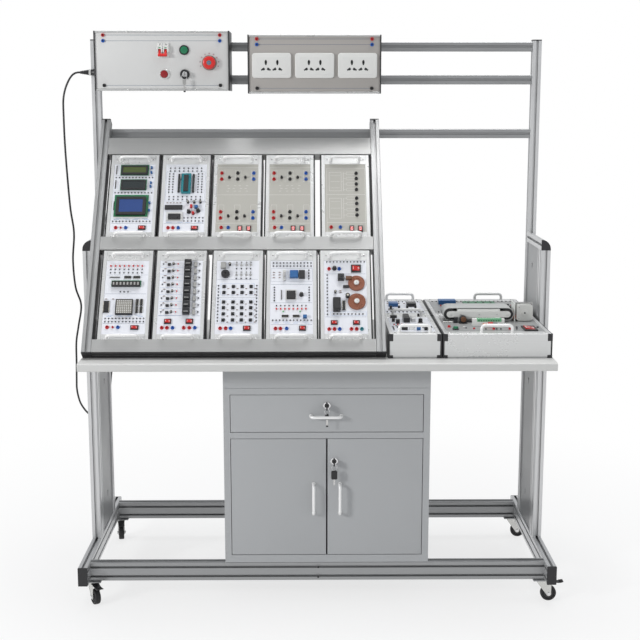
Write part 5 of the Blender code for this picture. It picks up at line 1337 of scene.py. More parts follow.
def start_box(corner, size, face_paint, line_paint):
    """The housing that both boxes share: body, rolled lips, black end plates, sockets and their lines."""
    width, height = size
    build = Assembly(face_frame(*corner, box_face_y))
    low = (box_plate - 0.001, 0.0008, -box_depth)
    build.block("body", face_paint, low, (width - box_plate + 0.001, height - 0.0008, 0), 0.0008, 2)
    for start in (0, height - box_lip):
        low = (box_plate - 0.0008, start, -box_depth + 0.0004)
        high = (width - box_plate + 0.0008, start + box_lip, 0.0025)
        build.block("lip", lip_silver, low, high, 0.0016, 3)
    for start in (0, width - box_plate):
        low = (start, -0.0004, -box_depth - 0.0002)
        high = (start + box_plate, height + 0.0004, 0.004)
        build.block("end plate", module_black, low, high, 0.0008, 2)
    for share, part in jack_shares:
        level = share * height
        for x in (jack_inset, width - jack_inset):
            build.put(part, x, level)
        low = (jack_inset, level - 0.0005, -hair)
        build.block("line", line_paint, low, (width - jack_inset, level + 0.0005, 0.00015))
    for share in (0.25, 0.75):
        build.put(screw, width * share, box_lip / 2, 0.0022, share * 3)
        build.put(screw, width * share, height - box_lip / 2, 0.0022, share * 5)
    return build


def make_ring(paint_on, outer, inner, height):
    """A bevelled ring with a thin floor."""
    bevel = 0.0008
    profile = (
        (outer, 0),
        (outer, height - bevel),
        (outer - bevel, height),
        (inner + bevel / 2, height),
        (inner, height - bevel),
        (inner, 0.0002),
        (0.0004, 0.0002),
    )
    return turned("ring", paint_on, profile, 36)


breaker_at = (0.222, 0.127)
start_at = (0.29, 0.128)
stop_at = (0.2246, 0.052)
key_at = (0.291, 0.0515)
emergency_at = (0.3705, 0.0875)


def make_breaker_body(build):
    """A twin breaker: a low white body and a nose with two slots for the toggle's arms."""
    x, y = breaker_at
    high = (x + 0.019, y + 0.023, 0.006)
    build.block("breaker", white_plastic, (x - 0.019, y - 0.023, -hair), high, 0.0012, 2)
    build.block("split", print_dark, (x - 0.0004, y - 0.0228, 0.005), (x + 0.0004, y + 0.0228, 0.00612))
    for left, right in ((-0.0187, -0.0142), (-0.0052, -0.0008), (0.0008, 0.0052), (0.0142, 0.0187)):
        high = (x + right, y + 0.014, 0.0145)
        build.block("cheek", white_plastic, (x + left, y - 0.007, 0.0055), high, 0.001, 2)
    for side in (-1, 1):
        middle = x + side * 0.0097
        low = (middle - 0.005, y + 0.004, 0.0055)
        build.block("bridge", white_plastic, low, (middle + 0.005, y + 0.0139, 0.0138), 0.0006, 1)
        low = (middle - 0.0043, y - 0.0075, 0.0058)
        build.block("pocket", chip_black, low, (middle + 0.0043, y + 0.0045, 0.00625))
        for level in (y - 0.0185, y + 0.0185):
            build.put(screw, middle, level, 0.006, 0.5)
        low = (middle - 0.0035, y + 0.0065, 0.0137)
        build.block("window", socket_green, low, (middle + 0.0035, y + 0.009, 0.01392))


def make_breaker_toggle():
    """Two arms on a hub, joined by a finger bar; it points down and out at rest."""
    x, y = breaker_at
    swing = math.radians(62)
    build = Assembly(supply_frame @ shift(x, y, 0.0092) @ spun(swing, "X"))
    for side in (-1, 1):
        middle = side * 0.0097
        hub = rod("hub", lever_red, 0.0028, -0.0036, 0.0036, 20, 0.0004, 1)
        build.keep(hub, shift(middle, 0) @ spun(quarter, "Y"))
        high = (middle + 0.0034, 0.0024, 0.0145)
        build.block("arm", lever_red, (middle - 0.0034, -0.0024, 0), high, 0.0006, 1)
    build.block("bar", lever_red, (-0.015, -0.0034, 0.0135), (0.015, 0.0034, 0.0215), 0.0012, 3)
    for step in range(3):
        level = 0.0155 + 0.002 * step
        build.block("rib", lever_red, (-0.014, -0.004, level - 0.0004), (0.014, -0.003, level + 0.0004))
    build.done("breaker_lever", "breaker_toggle", "red_plastic", "breaker_toggle")


def make_push_button(name, place, paint_on, body, slot_name):
    build = Assembly(supply_frame)
    profile = (
        (0.0004, 0.004), (0.0116, 0.004), (0.012, 0.0044), (0.012, 0.0068), (0.0113, 0.0078),
        (0.008, 0.0085), (0.0004, 0.0088),
    )
    build.turned("button", paint_on, profile, 36, shift(*place))
    build.done(name, body, slot_name, body)


def make_emergency_head():
    """The mushroom: a domed rim round a ribbed grip, hollow underneath, with a grey ring in its middle."""
    build = Assembly(supply_frame)
    profile = (
        (0.0004, 0.015), (0.0128, 0.015), (0.013, 0.0086), (0.0192, 0.0083), (0.0205, 0.0096),
        (0.0208, 0.013), (0.0204, 0.0168), (0.019, 0.0196), (0.0165, 0.0209), (0.0125, 0.0214),
        (0.009, 0.0212), (0.0085, 0.0204), (0.0004, 0.0202),
    )
    build.turned("head", lever_red, profile, 48, shift(*emergency_at))
    for radius, paint_on, top in (
        (0.0078, matrix_grey, 0.0206), (0.0052, relay_blue, 0.0208), (0.003, matrix_grey, 0.021)
    ):
        disc = ((radius, 0.0198), (radius, top - 0.0001), (radius - 0.0002, top), (0.0004, top))
        build.turned("disc", paint_on, disc, 32, shift(*emergency_at))
    for step in range(24):
        rib = block("rib", lever_red, (0.0198, -0.0006, 0.0095), (0.0212, 0.0006, 0.016), 0.0003, 1)
        build.keep(rib, shift(*emergency_at) @ spun(math.radians(15 * step), "Z"))
    build.done("emergency_head", "emergency_button", "red_plastic", "emergency_button")


def make_key():
    """The switch's core with its key: a barrel, a blade and a rounded steel grip with a hole's rim."""
    build = Assembly(supply_frame @ shift(*key_at))
    core = (
        (0.0085, 0.002), (0.0085, 0.0068), (0.0078, 0.0076), (0.003, 0.0078), (0.0028, 0.0072),
        (0.0004, 0.0072),
    )
    build.turned("core", chrome, core, 32)
    build.block("slot", chip_black, (-0.0008, -0.005, 0.0076), (0.0008, 0.005, 0.008))
    build.block("blade", steel, (-0.0007, -0.003, 0.0074), (0.0007, 0.003, 0.013), 0.0002, 1)
    build.round_block(
        "grip", steel, (-0.0009, -0.0085, 0.0125), (0.0009, 0.0085, 0.029), 0.005, lambda start,
        end: abs(start.x - end.x) > 0.001 and start.z > 0.02, 3,
    )
    for side in (-1, 1):
        rim = ((0.003, 0), (0.003, 0.0003), (0.0026, 0.0003), (0.0004, 0.0003))
        place = shift(side * 0.0009, 0, 0.024) @ spun(side * quarter, "Y")
        build.turned("rim", chip_black, rim, 20, place)
    build.done("switch_key_set", "switch_key", "zinc_plate", "switch_key")


def make_hanging_keys(name, place, x, y, reach, body, grip_paint, fob=False):
    """A split ring with a key on it, or with a tag and a blade where fob is set."""
    build = Assembly(place @ shift(x, y, reach))
    bpy.ops.object.select_all(action="DESELECT")
    bpy.ops.mesh.primitive_torus_add(
        major_segments=32, minor_segments=8, major_radius=0.0085, minor_radius=0.0007,
        location=(0, -0.0085, 0),
    )
    ring = settle("ring", chrome)
    ring.data.transform(spun(0.35, "Y"))
    build.keep(ring)
    if fob:
        build.round_block(
            "fob", chip_black, (-0.0095, -0.047, -0.004), (0.0095, -0.02, 0.001), 0.004, lambda start,
            end: abs(start.z - end.z) > 0.002, 4,
        )
        build.block("eye", chip_black, (-0.004, -0.021, -0.0035), (0.004, -0.0165, 0.0005), 0.001, 2)
        build.block("blade", steel, (-0.0026, -0.066, -0.0024), (0.0026, -0.046, -0.001), 0.0003, 1)
    else:
        build.round_block(
            "grip", grip_paint, (-0.0055, -0.033, -0.0012), (0.0055, -0.0155, 0.0012), 0.003, lambda start,
            end: abs(start.z - end.z) > 0.001, 3,
        )
        build.block("blade", steel, (-0.0024, -0.053, -0.0008), (0.0032, -0.03, 0.0008), 0.0003, 1)
        build.block("tip", chip_black, (-0.003, -0.057, -0.0012), (0.0038, -0.052, 0.0012), 0.0004, 1)
    build.done(name, body, "zinc_plate")


def make_gland(build):
    """The gland and its ribbed boot on the left end plate, turned about the cord's axis."""
    profile = (
        (0.014, 0), (0.014, 0.015), (0.0128, 0.0168), (0.0106, 0.0222), (0.0095, 0.029), (0.0104, 0.0296),
        (0.0104, 0.0362), (0.0096, 0.037), (0.0066, 0.0384),
    )
    light = 5
    neck = turned("gland", module_black, profile, 28)
    neck_low, neck_high = profile[light][1], profile[light + 1][1]

    def light_collar(middle, normal):
        return neck_low < middle.z < neck_high and abs(normal.z) < 0.3

    paint(neck, white_plastic, light_collar)
    ribs = [(0.0066, 0.0376), (0.0084, 0.039)]
    for step in range(5):
        radius = 0.0085 - 0.0009 * step
        narrow = radius - 0.0014
        start = 0.039 + 0.0056 * step
        ribs += [
            (radius, start), (radius, start + 0.0032), (narrow, start + 0.0036), (narrow, start + 0.0054)
        ]
    ribs += [(0.0044, 0.0668), (0.0036, 0.0672)]
    boot = turned("boot", black_plastic, ribs, 24)
    axis_y = 1.66524 - supply_corner[1]
    axis_z = box_face_y - 0.183
    turn = shift(0, axis_y, axis_z) @ spun(-quarter, "Y")
    for piece in (neck, boot):
        build.keep(piece, turn)


supply = start_box(supply_corner, supply_size, supply_paint, print_dark)
make_breaker_body(supply)
for place, paint_on, outer, inner, height in (
    (start_at, module_black, 0.0158, 0.0125, 0.0052),
    (stop_at, bright_ring, 0.0162, 0.0125, 0.0052),
    (key_at, module_black, 0.0155, 0.0092, 0.0052),
    (emergency_at, matrix_grey, 0.024, 0.0118, 0.0028),
    (emergency_at, steel, 0.0116, 0.01, 0.007),
):
    supply.keep(make_ring(paint_on, outer, inner, height), shift(*place))
for step in range(9):
    turn = spun(math.radians(-20 + 27.5 * step), "Z")
    for radius, paint_on in ((0.0285, print_red), (0.031, print_dark)):
        high = (radius + 0.0006, 0.0024, 0.00015)
        mark = block("mark", paint_on, (radius - 0.0006, -0.0024, -hair), high)
        supply.keep(mark, shift(*emergency_at) @ turn)
make_gland(supply)
supply.done("supply_housing", "bench", "supply_box_paint", "supply_box")
make_breaker_toggle()
make_push_button("start_cap", start_at, button_green, "start_button", "green_plastic")
make_push_button("stop_cap", stop_at, button_red, "stop_button", "red_plastic")
make_emergency_head()
make_key()
make_hanging_keys("switch_key_ring", supply_frame, *key_at, 0.024, "bench", key_grey)

socket_plate_size = (0.126, 0.0795, 0.008)
socket_plate_first = 0.0775
socket_plate_pitch = 0.1385
socket_plate_rise = 0.088


def make_socket_plate():
    """A rounded plate with a raised field and two universal outlets."""
    width, height, rise = socket_plate_size
    high = (width / 2, height / 2, rise)
    plate = block("plate", white_plastic, (-width / 2, -height / 2, -hair), high)
    round_edges(plate, 0.009, lambda start, end: abs(start.z - end.z) > rise / 2, 5)
    round_edges(plate, 0.0026, lambda start, end: min(start.z, end.z) > rise - tiny, 3)
    top = rise + 0.0004
    field = block("field", white_plastic, (-0.049, -0.0275, rise - 0.001), (0.049, 0.0275, top), 0.0004, 1)
    pieces = [plate, field]
    for middle in (-0.0185, 0.0185):
        for wide, low, high in ((0.0024, 0.0015, 0.0175), (0.0038, 0.006, 0.0145)):
            lower = (middle - wide, low, top - 0.001)
            pieces.append(block("slot", chip_black, lower, (middle + wide, high, top + 0.0002)))
        for side in (-1, 1):
            place = shift(middle + side * 0.0096, -0.012) @ spun(-side * 0.42, "Z")
            for left, right, wide, lift in (
                (-0.0062, 0.0062, 0.0024, 0.0002), (-0.0058 * side, 0.0008 * side, 0.004, 0.00021)
            ):
                slot = block("slot", chip_black, (left, -wide, top - 0.001), (right, wide, top + lift))
                slot.data.transform(place)
                pieces.append(slot)
    return small_part("socket_plate", pieces)


socket_plate = make_socket_plate()
outlets = start_box(outlet_corner, outlet_size, outlet_paint, print_dark)
for index in range(3):
    outlets.put(socket_plate, socket_plate_first + socket_plate_pitch * index, socket_plate_rise)
outlets.done("outlet_housing", "bench", "outlet_box_paint", "outlet_box")

# The modules that lie on the table and the belt conveyor

lid_height = 0.8758
table_front_y = -0.304
rear_front_y = 0.0275
wide_width = 0.325
narrow_middle = 0.2965
wide_middle = 0.5481
conveyor_front = 0.204
conveyor_back = 0.294
first_axis = -0.124
last_axis = 0.061
axis_height = 0.0245
bed_low, bed_high = -0.1, 0.037


def lying_frame(middle, front):
    return shift(middle, front, lid_height)


def dress_board(build):
    build.slabs(
        (relay_black, 58, 78, 196, 262, 0.016, 0.0015),
        (chip_black, 60, 76, 200, 256, 0.018, 0.0008),
        (relay_black, 32, 44, 176, 196, 0.012, 0.001),
        (relay_black, 20, 42, 280, 290, 0.008, 0.0008),
        (module_silver, 84, 96, 205, 262, 0.012, 0.001),
    )
    build.sets(
        (black_knob, 111, 194, 0.3, (1.1, 1.1, 1.2)),
        (can_capacitor, 114, 300),
        (can_capacitor, 26, 215, 0, (1.3, 1.3, 1)),
    )
    build.slabs(
        (chip_black, 42, 60, 66, 82, 0.008, 0.0008),
        (white_plastic, 66, 82, 70, 84, 0.009, 0.0008),
        (relay_blue, 88, 100, 62, 74, 0.009, 0.0008),
        (chip_black, 112, 122, 60, 92, 0.012, 0.0008),
    )
    build.rows(dark_socket, 18, 138, 10, 108, 122)
    build.column(dark_socket, 18, 66, 98, 3)
    build.row(resistor, 30, 126, 142, 6)
    build.row(red_lamp, 24, 60, 154, 4)
    build.set(header, 110, 160, 0, (1.4, 1, 1))
    print_frame(build, 14, 141, 60, 300, print_dark, 0.5)
    print_across(build, print_dark, 0.5, 168)
    print_marks(build, 18, 138, 128, 136, print_blue, 1)


def dress_rear(build):
    build.rows(dark_socket, 18, 138, 10, 60, 74)
    for across in (34, 62, 90, 118):
        build.set(chip, across, 104)
        build.set(can_capacitor, across, 128)
    build.slab(relay_blue, 30, 62, 168, 208, 0.012, 0.001)
    build.slab(relay_black, 92, 124, 168, 208, 0.012, 0.001)
    build.row(resistor, 30, 126, 236, 6)
    build.row(dark_socket, 18, 138, 270, 10)
    print_frame(build, 14, 141, 48, 284, print_dark, 0.5)
    print_across(build, print_dark, 0.5, 148)


def dress_wide_rear(build):
    build.row(dark_socket, 24, 300, 62, 20)
    for across in (60, 130, 200, 270):
        build.slab(relay_black, across - 18, across + 18, 96, 122, 0.012, 0.001)
        build.set(black_knob, across, 156)
        build.row(red_lamp, across - 16, across + 16, 184, 4)
    build.slab(relay_blue, 40, 100, 214, 250, 0.014, 0.001)
    build.slab(board_green, 128, 238, 210, 262, 0.003, 0.0004)
    for across in (146, 172, 198, 224):
        build.set(chip, across, 236, quarter)
    build.row(dark_socket, 24, 300, 280, 20)
    print_frame(build, 14, 311, 46, 294, print_dark, 0.5)
    print_line(build, 14, 311, 80, print_dark, 0.5)
    print_line(build, 14, 311, 200, print_dark, 0.5)


def conveyor_plate_outline():
    """The side plate's outline: a bar with round ends and two feet."""
    outline = []
    for centre, turn in ((last_axis, -90), (first_axis, 90)):
        for step in range(13):
            angle = math.radians(turn + 15 * step)
            outline.append((centre + 0.0098 * math.cos(angle), axis_height + 0.0098 * math.sin(angle)))
    top = axis_height - 0.0098
    for start in (bed_low, bed_high - 0.02):
        end = start + 0.02
        outline += [(start, top), (start, -0.001), (end, -0.001), (end, top)]
    return outline


def dress_conveyor(build):
    """The conveyor's frame with its motor, terminal block and controls on the wide lid."""
    outline = conveyor_plate_outline()
    for start in (conveyor_front - 0.004, conveyor_back):
        build.pulled("side_plate", conveyor_white, outline, start, start + 0.004)
    low = (bed_low, conveyor_front + 0.0002, axis_height - 0.0163)
    high = (bed_high, conveyor_back - 0.0002, axis_height + 0.0163)
    build.block("bed", conveyor_white, low, high, 0.001, 1)
    middle = axis_height
    for x in (bed_low + 0.01, -0.03, bed_high - 0.01):
        start, end = conveyor_front - 0.0055, conveyor_front - 0.0038
        build.across_rod("screw", steel, 0.0022, x, middle, start, end, 12, 0.0004)
    for x in (first_axis, last_axis):
        start, end = conveyor_front - 0.0058, conveyor_front - 0.0041
        build.across_rod("hub", white_plastic, 0.0052, x, middle, start, end, 24, 0.0005)
    build.block("base_plate", steel, (-0.146, 0.196, -0.0013), (-0.112, 0.3, 0.0018), 0.0006, 1)
    # the small pulley motor in front of the frame
    for start, end, radius, paint_on in (
        (0.18, 0.199, 0.011, relay_black), (0.172, 0.181, 0.0085, brown_plastic)
    ):
        build.across_rod("small_motor", paint_on, radius, -0.083, 0.0125, start, end, 28, 0.001)
    build.block("motor_foot", chip_black, (-0.096, 0.176, -0.0013), (-0.07, 0.199, 0.003), 0.0006, 1)
    build.block("sensor", relay_black, (-0.112, 0.188, -0.0013), (-0.1, 0.197, 0.018), 0.0008, 1)
    # the terminal block with its green strip and wires
    x0, x1 = (0.315 - 0.5) * wide_width, (0.625 - 0.5) * wide_width
    y0, y1 = 0.4 * face_length, 0.46 * face_length
    build.block("terminal body", conveyor_white, (x0, y0, -0.0013), (x1, y1, 0.022), 0.0015, 2)
    low, high = (x0 + 0.014, y0 - 0.0008, 0.013), (x1 - 0.01, y1 - 0.004, 0.0235)
    build.block("terminal strip", strip_green, low, high, 0.0006, 1)
    for index in range(9):
        x = x0 + 0.018 + 0.0078 * index
        build.block("wire_way", chip_black, (x, y0 - 0.0011, 0.0145), (x + 0.0034, y0 + 0.001, 0.018))
        build.put(screw, x + 0.0017, y0 + 0.006, 0.0235, 0.4 * index, (0.8, 0.8, 1))
    for left, right, depth, top, paint_on in (
        (-0.012, 0.004, 0.0055, 0.012, lever_red),
        (0.006, 0.018, 0.005, 0.01, chip_black),
        (-0.028, -0.014, 0.0045, 0.008, wire_orange),
    ):
        build.block("plug", paint_on, (left, y0 - depth, 0.001), (right, y0 + 0.002, top), 0.001, 1)
    for step, paint_on in ((0, wire_orange), (1, lever_red), (2, wire_orange)):
        outline = lead_outline(0.0815, 0.0905, 0.006 + 0.004 * step, 0.02 + 0.006 * step)
        build.pulled("lead", paint_on, outline, 0.214 + 0.006 * step, 0.2158 + 0.006 * step)
    # the gear motor with its boss, seam lines and bracket
    motor = rounded_outline(0.0915, 0.0015, 0.1435, 0.0535, 0.009)
    build.pulled("gear_motor", motor_grey, motor, 0.211, 0.273, 0.0012)
    foot = [(0.0995, -0.001), (0.1355, -0.001), (0.1355, 0.0025), (0.0995, 0.0025)]
    build.pulled("motor_foot", motor_grey, foot, 0.219, 0.265)
    seam = rounded_outline(0.0914, 0.0014, 0.1436, 0.0536, 0.0091)
    for depth in (0.226, 0.258):
        build.pulled("seam", relay_black, seam, depth, depth + 0.0008)
    build.across_rod("boss", motor_grey, 0.011, 0.1175, 0.0275, 0.209, 0.2112, 32, 0.0006)
    build.across_rod("shaft", chip_black, 0.0026, 0.1175, 0.0275, 0.2078, 0.2091, 16, 0.0003)
    for x in (0.0995, 0.1355):
        for z in (0.0095, 0.0455):
            build.across_rod("bolt", steel, 0.002, x, z, 0.2098, 0.2112, 12, 0.0003)
    build.block("bracket", conveyor_white, (0.084, 0.2108, -0.0013), (0.087, 0.2732, 0.058), 0.0006, 1)
    strap = [
        (0.0885, 0.012), (0.0885, 0.0565), (0.1465, 0.0565), (0.1465, 0.012), (0.145, 0.012),
        (0.145, 0.055), (0.09, 0.055), (0.09, 0.012),
    ]
    build.pulled("strap", steel, strap, 0.238, 0.252)
    # the controls along the front
    build.sets(
        (red_socket, 27, 115),
        (button_cap, 43, 77),
        (white_tip, 72, 102),
        (red_tip, 101, 85),
        (dark_socket, 78, 96),
    )
    for part, places in ((dark_socket, (136, 170, 183, 232)), (red_tip, (161, 211))):
        for across in places:
            build.set(part, across, 76, 0, (1.3, 1.3, 1.3))
    for across, along in ((237, 106), (302, 104)):
        build.set(dark_socket, across, along, 0, (1.6, 1.6, 1.4))
    set_rocker(build, 252, 294, 44, 122)
    print_frame(build, 14, 240, 60, 126, print_dark, 0.5)
    print_frame(build, 246, 308, 52, 142, print_dark, 0.5)


def lead_outline(left, right, low, high):
    """A thin wire's side view: up, over and down in a bow."""
    outline = []
    for radius in (1.0, 0.86):
        bow = []
        for step in range(9):
            angle = math.pi * step / 8
            x = (left + right) / 2 + (right - left) / 2 * radius * math.cos(angle)
            bow.append((x, low + (high - low) * radius * math.sin(angle)))
        outline += bow if radius == 1.0 else reversed(bow)
    return outline


def rounded_outline(left, low, right, high, radius):
    outline = []
    inner_left, inner_right = left + radius, right - radius
    inner_low, inner_high = low + radius, high - radius
    for x, z, turn in (
        (inner_right, inner_low, -90),
        (inner_right, inner_high, 0),
        (inner_left, inner_high, 90),
        (inner_left, inner_low, 180),
    ):
        for step in range(7):
            angle = math.radians(turn + 15 * step)
            outline.append((x + radius * math.cos(angle), z + radius * math.sin(angle)))
    return outline


low_handle, high_handle = both_handles
lying_modules = (
    ("board", narrow_middle, table_front_y, 0.155, pale_panel, dress_board, both_handles, 0.0),
    ("rear", narrow_middle, rear_front_y, 0.155, pale_panel, dress_rear, (high_handle,), 0.0),
    (
        "wide_rear", wide_middle, rear_front_y, wide_width, grey_panel, dress_wide_rear, (high_handle,),
        0.062,
    ),
    ("conveyor", wide_middle, table_front_y, wide_width, grey_panel, dress_conveyor, (low_handle,), 0.0),
)
for name, middle, front, width, panel, dress, handles, handle_shift in lying_modules:
    build = Assembly(lying_frame(middle, front), width)
    module_case(build, width, table_depth_behind, panel, handles, handle_shift, True)
    dress(build)
    build.done(f"{name}_unit", "bench", "module_panel", f"{name}_module")


def make_conveyor_roller(name, body, x):
    """A drum with axle ends and six small webs on its front."""
    build = Assembly(lying_frame(wide_middle, table_front_y) @ shift(x, 0, axis_height))
    start, end = conveyor_front, conveyor_back
    build.across_rod("drum", black_rubber, 0.0184, 0, 0, start + 0.0006, end - 0.0006, 40, 0.0012)
    build.across_rod("axle", steel, 0.0029, 0, 0, start - 0.004, end + 0.004, 20, 0.0004)
    for turn in range(6):
        angle = math.radians(60 * turn)
        place = (0.0125 * math.cos(angle), 0.0125 * math.sin(angle))
        build.across_rod("web", chip_black, 0.0026, *place, start + 0.0001, start + 0.001, 12, 0.0002)
    build.done(name, body, "black_rubber", body)


make_conveyor_roller("idler_drum", "idler_roller", first_axis)
make_conveyor_roller("drive_drum", "drive_roller", last_axis)

# The cabinet's drawer and doors

cabinet_face = -0.274
opening_left, opening_right = -0.271, 0.329
door_low, door_high = 0.1602, 0.5388
drawer_low, drawer_high = 0.5596, 0.6788
front_thickness = 0.018
reveal = 0.0016
doors_meet = 0.029
door_gap = 0.0022
fold_inset = 0.0006
pull_level = 0.3457
cabinet_frame = face_frame(0, 0, cabinet_face)


drawer_lock = (0.029, 0.6454)
door_lock = (0.0519, 0.4669)
lock_key_drop = 0.006
lock_key_reach = 0.022


def make_lock(build, x, y):
    """A chrome cam lock with a black face and a key slot."""
    profile = (
        (0.0115, 0), (0.0115, 0.0034), (0.0106, 0.0042), (0.0078, 0.0042), (0.0074, 0.003), (0.0004, 0.003)
    )
    build.turned("lock", chrome, profile, 32, shift(x, y))
    core = ((0.007, 0.0028), (0.007, 0.004), (0.0062, 0.0044), (0.0004, 0.0044))
    build.turned("core", chip_black, core, 28, shift(x, y))
    build.block("blade", steel, (x - 0.0008, y - 0.0034, 0.004), (x + 0.0008, y + 0.0034, 0.009))
    build.round_block(
        "grip", chip_black, (x - 0.0022, y - 0.011, 0.008), (x + 0.0022, y + 0.0075, 0.027), 0.004,
        lambda start, end: abs(start.x - end.x) > 0.003, 3,
    )


def hang_lock_keys(name, lock, body, fob):
    """The keys that hang from the key in a lock."""
    x, y = lock
    place = (x, y - lock_key_drop, lock_key_reach)
    make_hanging_keys(f"{name}_keys", cabinet_frame, *place, body, chip_black, fob)


def make_front(left, right, low, high):
    """A sheet-steel front with folded edges."""
    front = block("front", cabinet_paint, (left, low, -front_thickness), (right, high, -0.0001))
    round_edges(front, 0.0014, lambda start, end: min(start.z, end.z) > -tiny - 0.0001, 3)
    return front


drawer = Assembly(cabinet_frame)
front_left, front_right = opening_left + reveal, opening_right - reveal
drawer.keep(make_front(front_left, front_right, drawer_low + fold_inset, drawer_high - fold_inset))
drawer.put(bow_handle, 0.027, 0.612)
make_lock(drawer, *drawer_lock)
tray_left, tray_right = opening_left + 0.013, opening_right - 0.013
tray_low, tray_back = 0.569, -front_thickness - 0.45
wall = 0.01
tray_front = -front_thickness + 0.0004
tray_high = tray_low + 0.085
tuck = 0.0001
for low, high in (
    ((tray_left, tray_low, tray_back), (tray_right, tray_low + wall, tray_front)),
    ((tray_left, tray_low + tuck, tray_back), (tray_left + wall, tray_high, tray_front)),
    ((tray_right - wall, tray_low + tuck, tray_back), (tray_right, tray_high, tray_front)),
    (
        (tray_left + tuck, tray_low + tuck, tray_back),
        (tray_right - tuck, tray_high - tuck, tray_back + wall),
    ),
):
    drawer.block("tray", cabinet_paint, low, high, 0.0008, 1)
drawer.done("drawer_unit", "drawer", "cabinet_paint", "drawer")
hang_lock_keys("drawer", drawer_lock, "drawer", False)

for side, left, right, pull_x in (
    ("left", front_left, doors_meet - door_gap, -0.012), ("right", doors_meet + door_gap, front_right, 0.07)
):
    door = Assembly(cabinet_frame)
    door.keep(make_front(left, right, door_low + fold_inset, door_high - fold_inset))
    door.put(bow_handle, pull_x, pull_level, 0.0, quarter)
    if side == "right":
        make_lock(door, *door_lock)
    door.done(f"{side}_door_unit", f"door_{side}", "cabinet_paint", f"door_{side}")
hang_lock_keys("door", door_lock, "door_right", True)

# The castors' forks and wheels

castor_trail = 0.022
wheel_radius = 0.025
fork_top = 0.0716
castor_places = {
    "front_left": (-0.715, -0.259, -60), "front_right": (0.715, -0.259, 0),
    "rear_left": (-0.715, 0.324, -80), "rear_right": (0.715, 0.324, -8),
}


def castor_frame(place):
    x, y, heading = castor_places[place]
    return shift(x, y) @ spun(math.radians(heading), "Z")


def make_fork(place):
    """A pressed zinc fork on its bearing, with an axle bolt and a black brake pedal."""
    build = Assembly(castor_frame(place))
    head = (
        (0.0185, fork_top - 0.007),
        (0.0185, fork_top - 0.0022),
        (0.0172, fork_top - 0.0012),
        (0.0165, fork_top - 0.0004),
        (0.0004, fork_top - 0.0004),
    )
    build.turned("bearing", zinc, head, 32)
    leg = [(-0.0157, fork_top - 0.005), (-0.0157, fork_top - 0.009)]
    for step in range(11):
        angle = math.pi * (1.1 + step / 10)
        leg.append((castor_trail + 0.008 * math.cos(angle), wheel_radius + 0.008 * math.sin(angle)))
    leg.append((castor_trail + 0.008, fork_top - 0.005))
    for start in (-0.0125, 0.0105):
        build.pulled("leg", zinc, leg, start, start + 0.002, 0.0005)
    low = (-0.0157, -0.0125, fork_top - 0.0073)
    build.block("bridge", zinc, low, (castor_trail, 0.0125, fork_top - 0.005), 0.0008, 2)
    for radius, start, end, sides, rounding in (
        (0.0055, 0.0124, 0.0155, 6, 0.0006), (0.0055, -0.0155, -0.0124, 20, 0.0014),
        (0.003, -0.0125, 0.0125, 20, 0),
    ):
        build.across_rod("axle", chrome, radius, castor_trail, wheel_radius, start, end, sides, rounding)
    pedal = [
        (0.017, 0.0622),
        (0.017, 0.0668),
        (castor_trail, 0.0668),
        (0.04, 0.0645),
        (0.052, 0.0625),
        (0.06, 0.0632),
        (0.068, 0.0655),
        (0.068, 0.063),
        (0.06, 0.0605),
        (0.052, 0.06),
        (0.04, 0.0615),
        (castor_trail, 0.0625),
    ]
    build.pulled("pedal", black_plastic, pedal, -0.0105, 0.0105, 0.0005)
    for step in range(4):
        x = 0.0555 + 0.003 * step
        build.block("grip", chip_black, (x, -0.0095, 0.0622), (x + 0.0012, 0.0095, 0.0655), 0.0003, 1)
    build.done(f"fork_{place}", f"castor_fork_{place}", "zinc_plate", f"castor_fork_{place}")


def make_wheel(place):
    """A wheel: a crowned tyre with tread lines on a black core with ribs."""
    build = Assembly(castor_frame(place) @ shift(castor_trail, 0, wheel_radius) @ spun(quarter, "X"))
    tyre = [
        (0.017, -0.0062), (0.0186, -0.009), (0.02, -0.0095), (0.0222, -0.0095), (0.024, -0.0082),
        (0.0249, -0.0058), (0.025, -0.0032), (0.0243, -0.0028), (0.0243, -0.002), (0.025, -0.0016),
    ]
    tyre += [(radius, -height) for radius, height in reversed(tyre)]
    build.turned("tyre", black_rubber, tyre, 40)
    for side in (-1, 1):
        core = (
            (0.0174, 0.005), (0.0168, 0.0066), (0.009, 0.0066), (0.008, 0.0098), (0.0036, 0.0101),
            (0.0034, 0.007),
        )
        web = [(radius, side * height) for radius, height in core]
        build.turned("core", black_plastic, web, 32)
        for step in range(6):
            low, high = sorted((side * 0.006, side * 0.0078))
            rib = block("rib", black_plastic, (0.0085, -0.0009, low), (0.0168, 0.0009, high), 0.0003, 1)
            build.keep(rib, spun(math.radians(60 * step), "Z"))
    build.done(f"wheel_{place}", f"castor_wheel_{place}", "black_rubber", f"castor_wheel_{place}")


for place in castor_places:
    make_fork(place)
    make_wheel(place)

# Black strips on the rack: painted shade, dark sheets in the gaps beside and under the modules

shade_strips = Assembly(Matrix.Translation(rack_face) @ rack_turn)
for deep in (-0.0335, -0.012):
    shade_strips.block(
        "foot_strip", module_black, (-0.7155, -0.0006, deep), (0.208, 0.0006, deep + 0.011), 0.0003, 1
    )
for inner, outer in ((-0.6842, -0.683), (0.1755, 0.1767)):
    shade_strips.block("side_strip", module_black, (inner, 0.029, -0.033), (outer, 0.717, 0.0018), 0.0003, 1)
shade_strips.done("rack_painted_shade_strips", "bench", "black_rubber")

# Bolt heads on the front cross rail, under the cabinet

rail_front = nodes["base_rail_front"].matrix_world @ Vector(nodes["base_rail_front"].bound_box[0])
bolts = Assembly(shift(0.0019, rail_front.y, 0) @ spun(quarter, "X"))
for height in (0.122, 0.0895):
    bolts.keep(rod("head", module_black, 0.0032, 0, 0.0016, 12, 0.0004), shift(0, height))
bolts.done("rail_bolts", "bench", "zinc_plate")

# Floor, light and camera

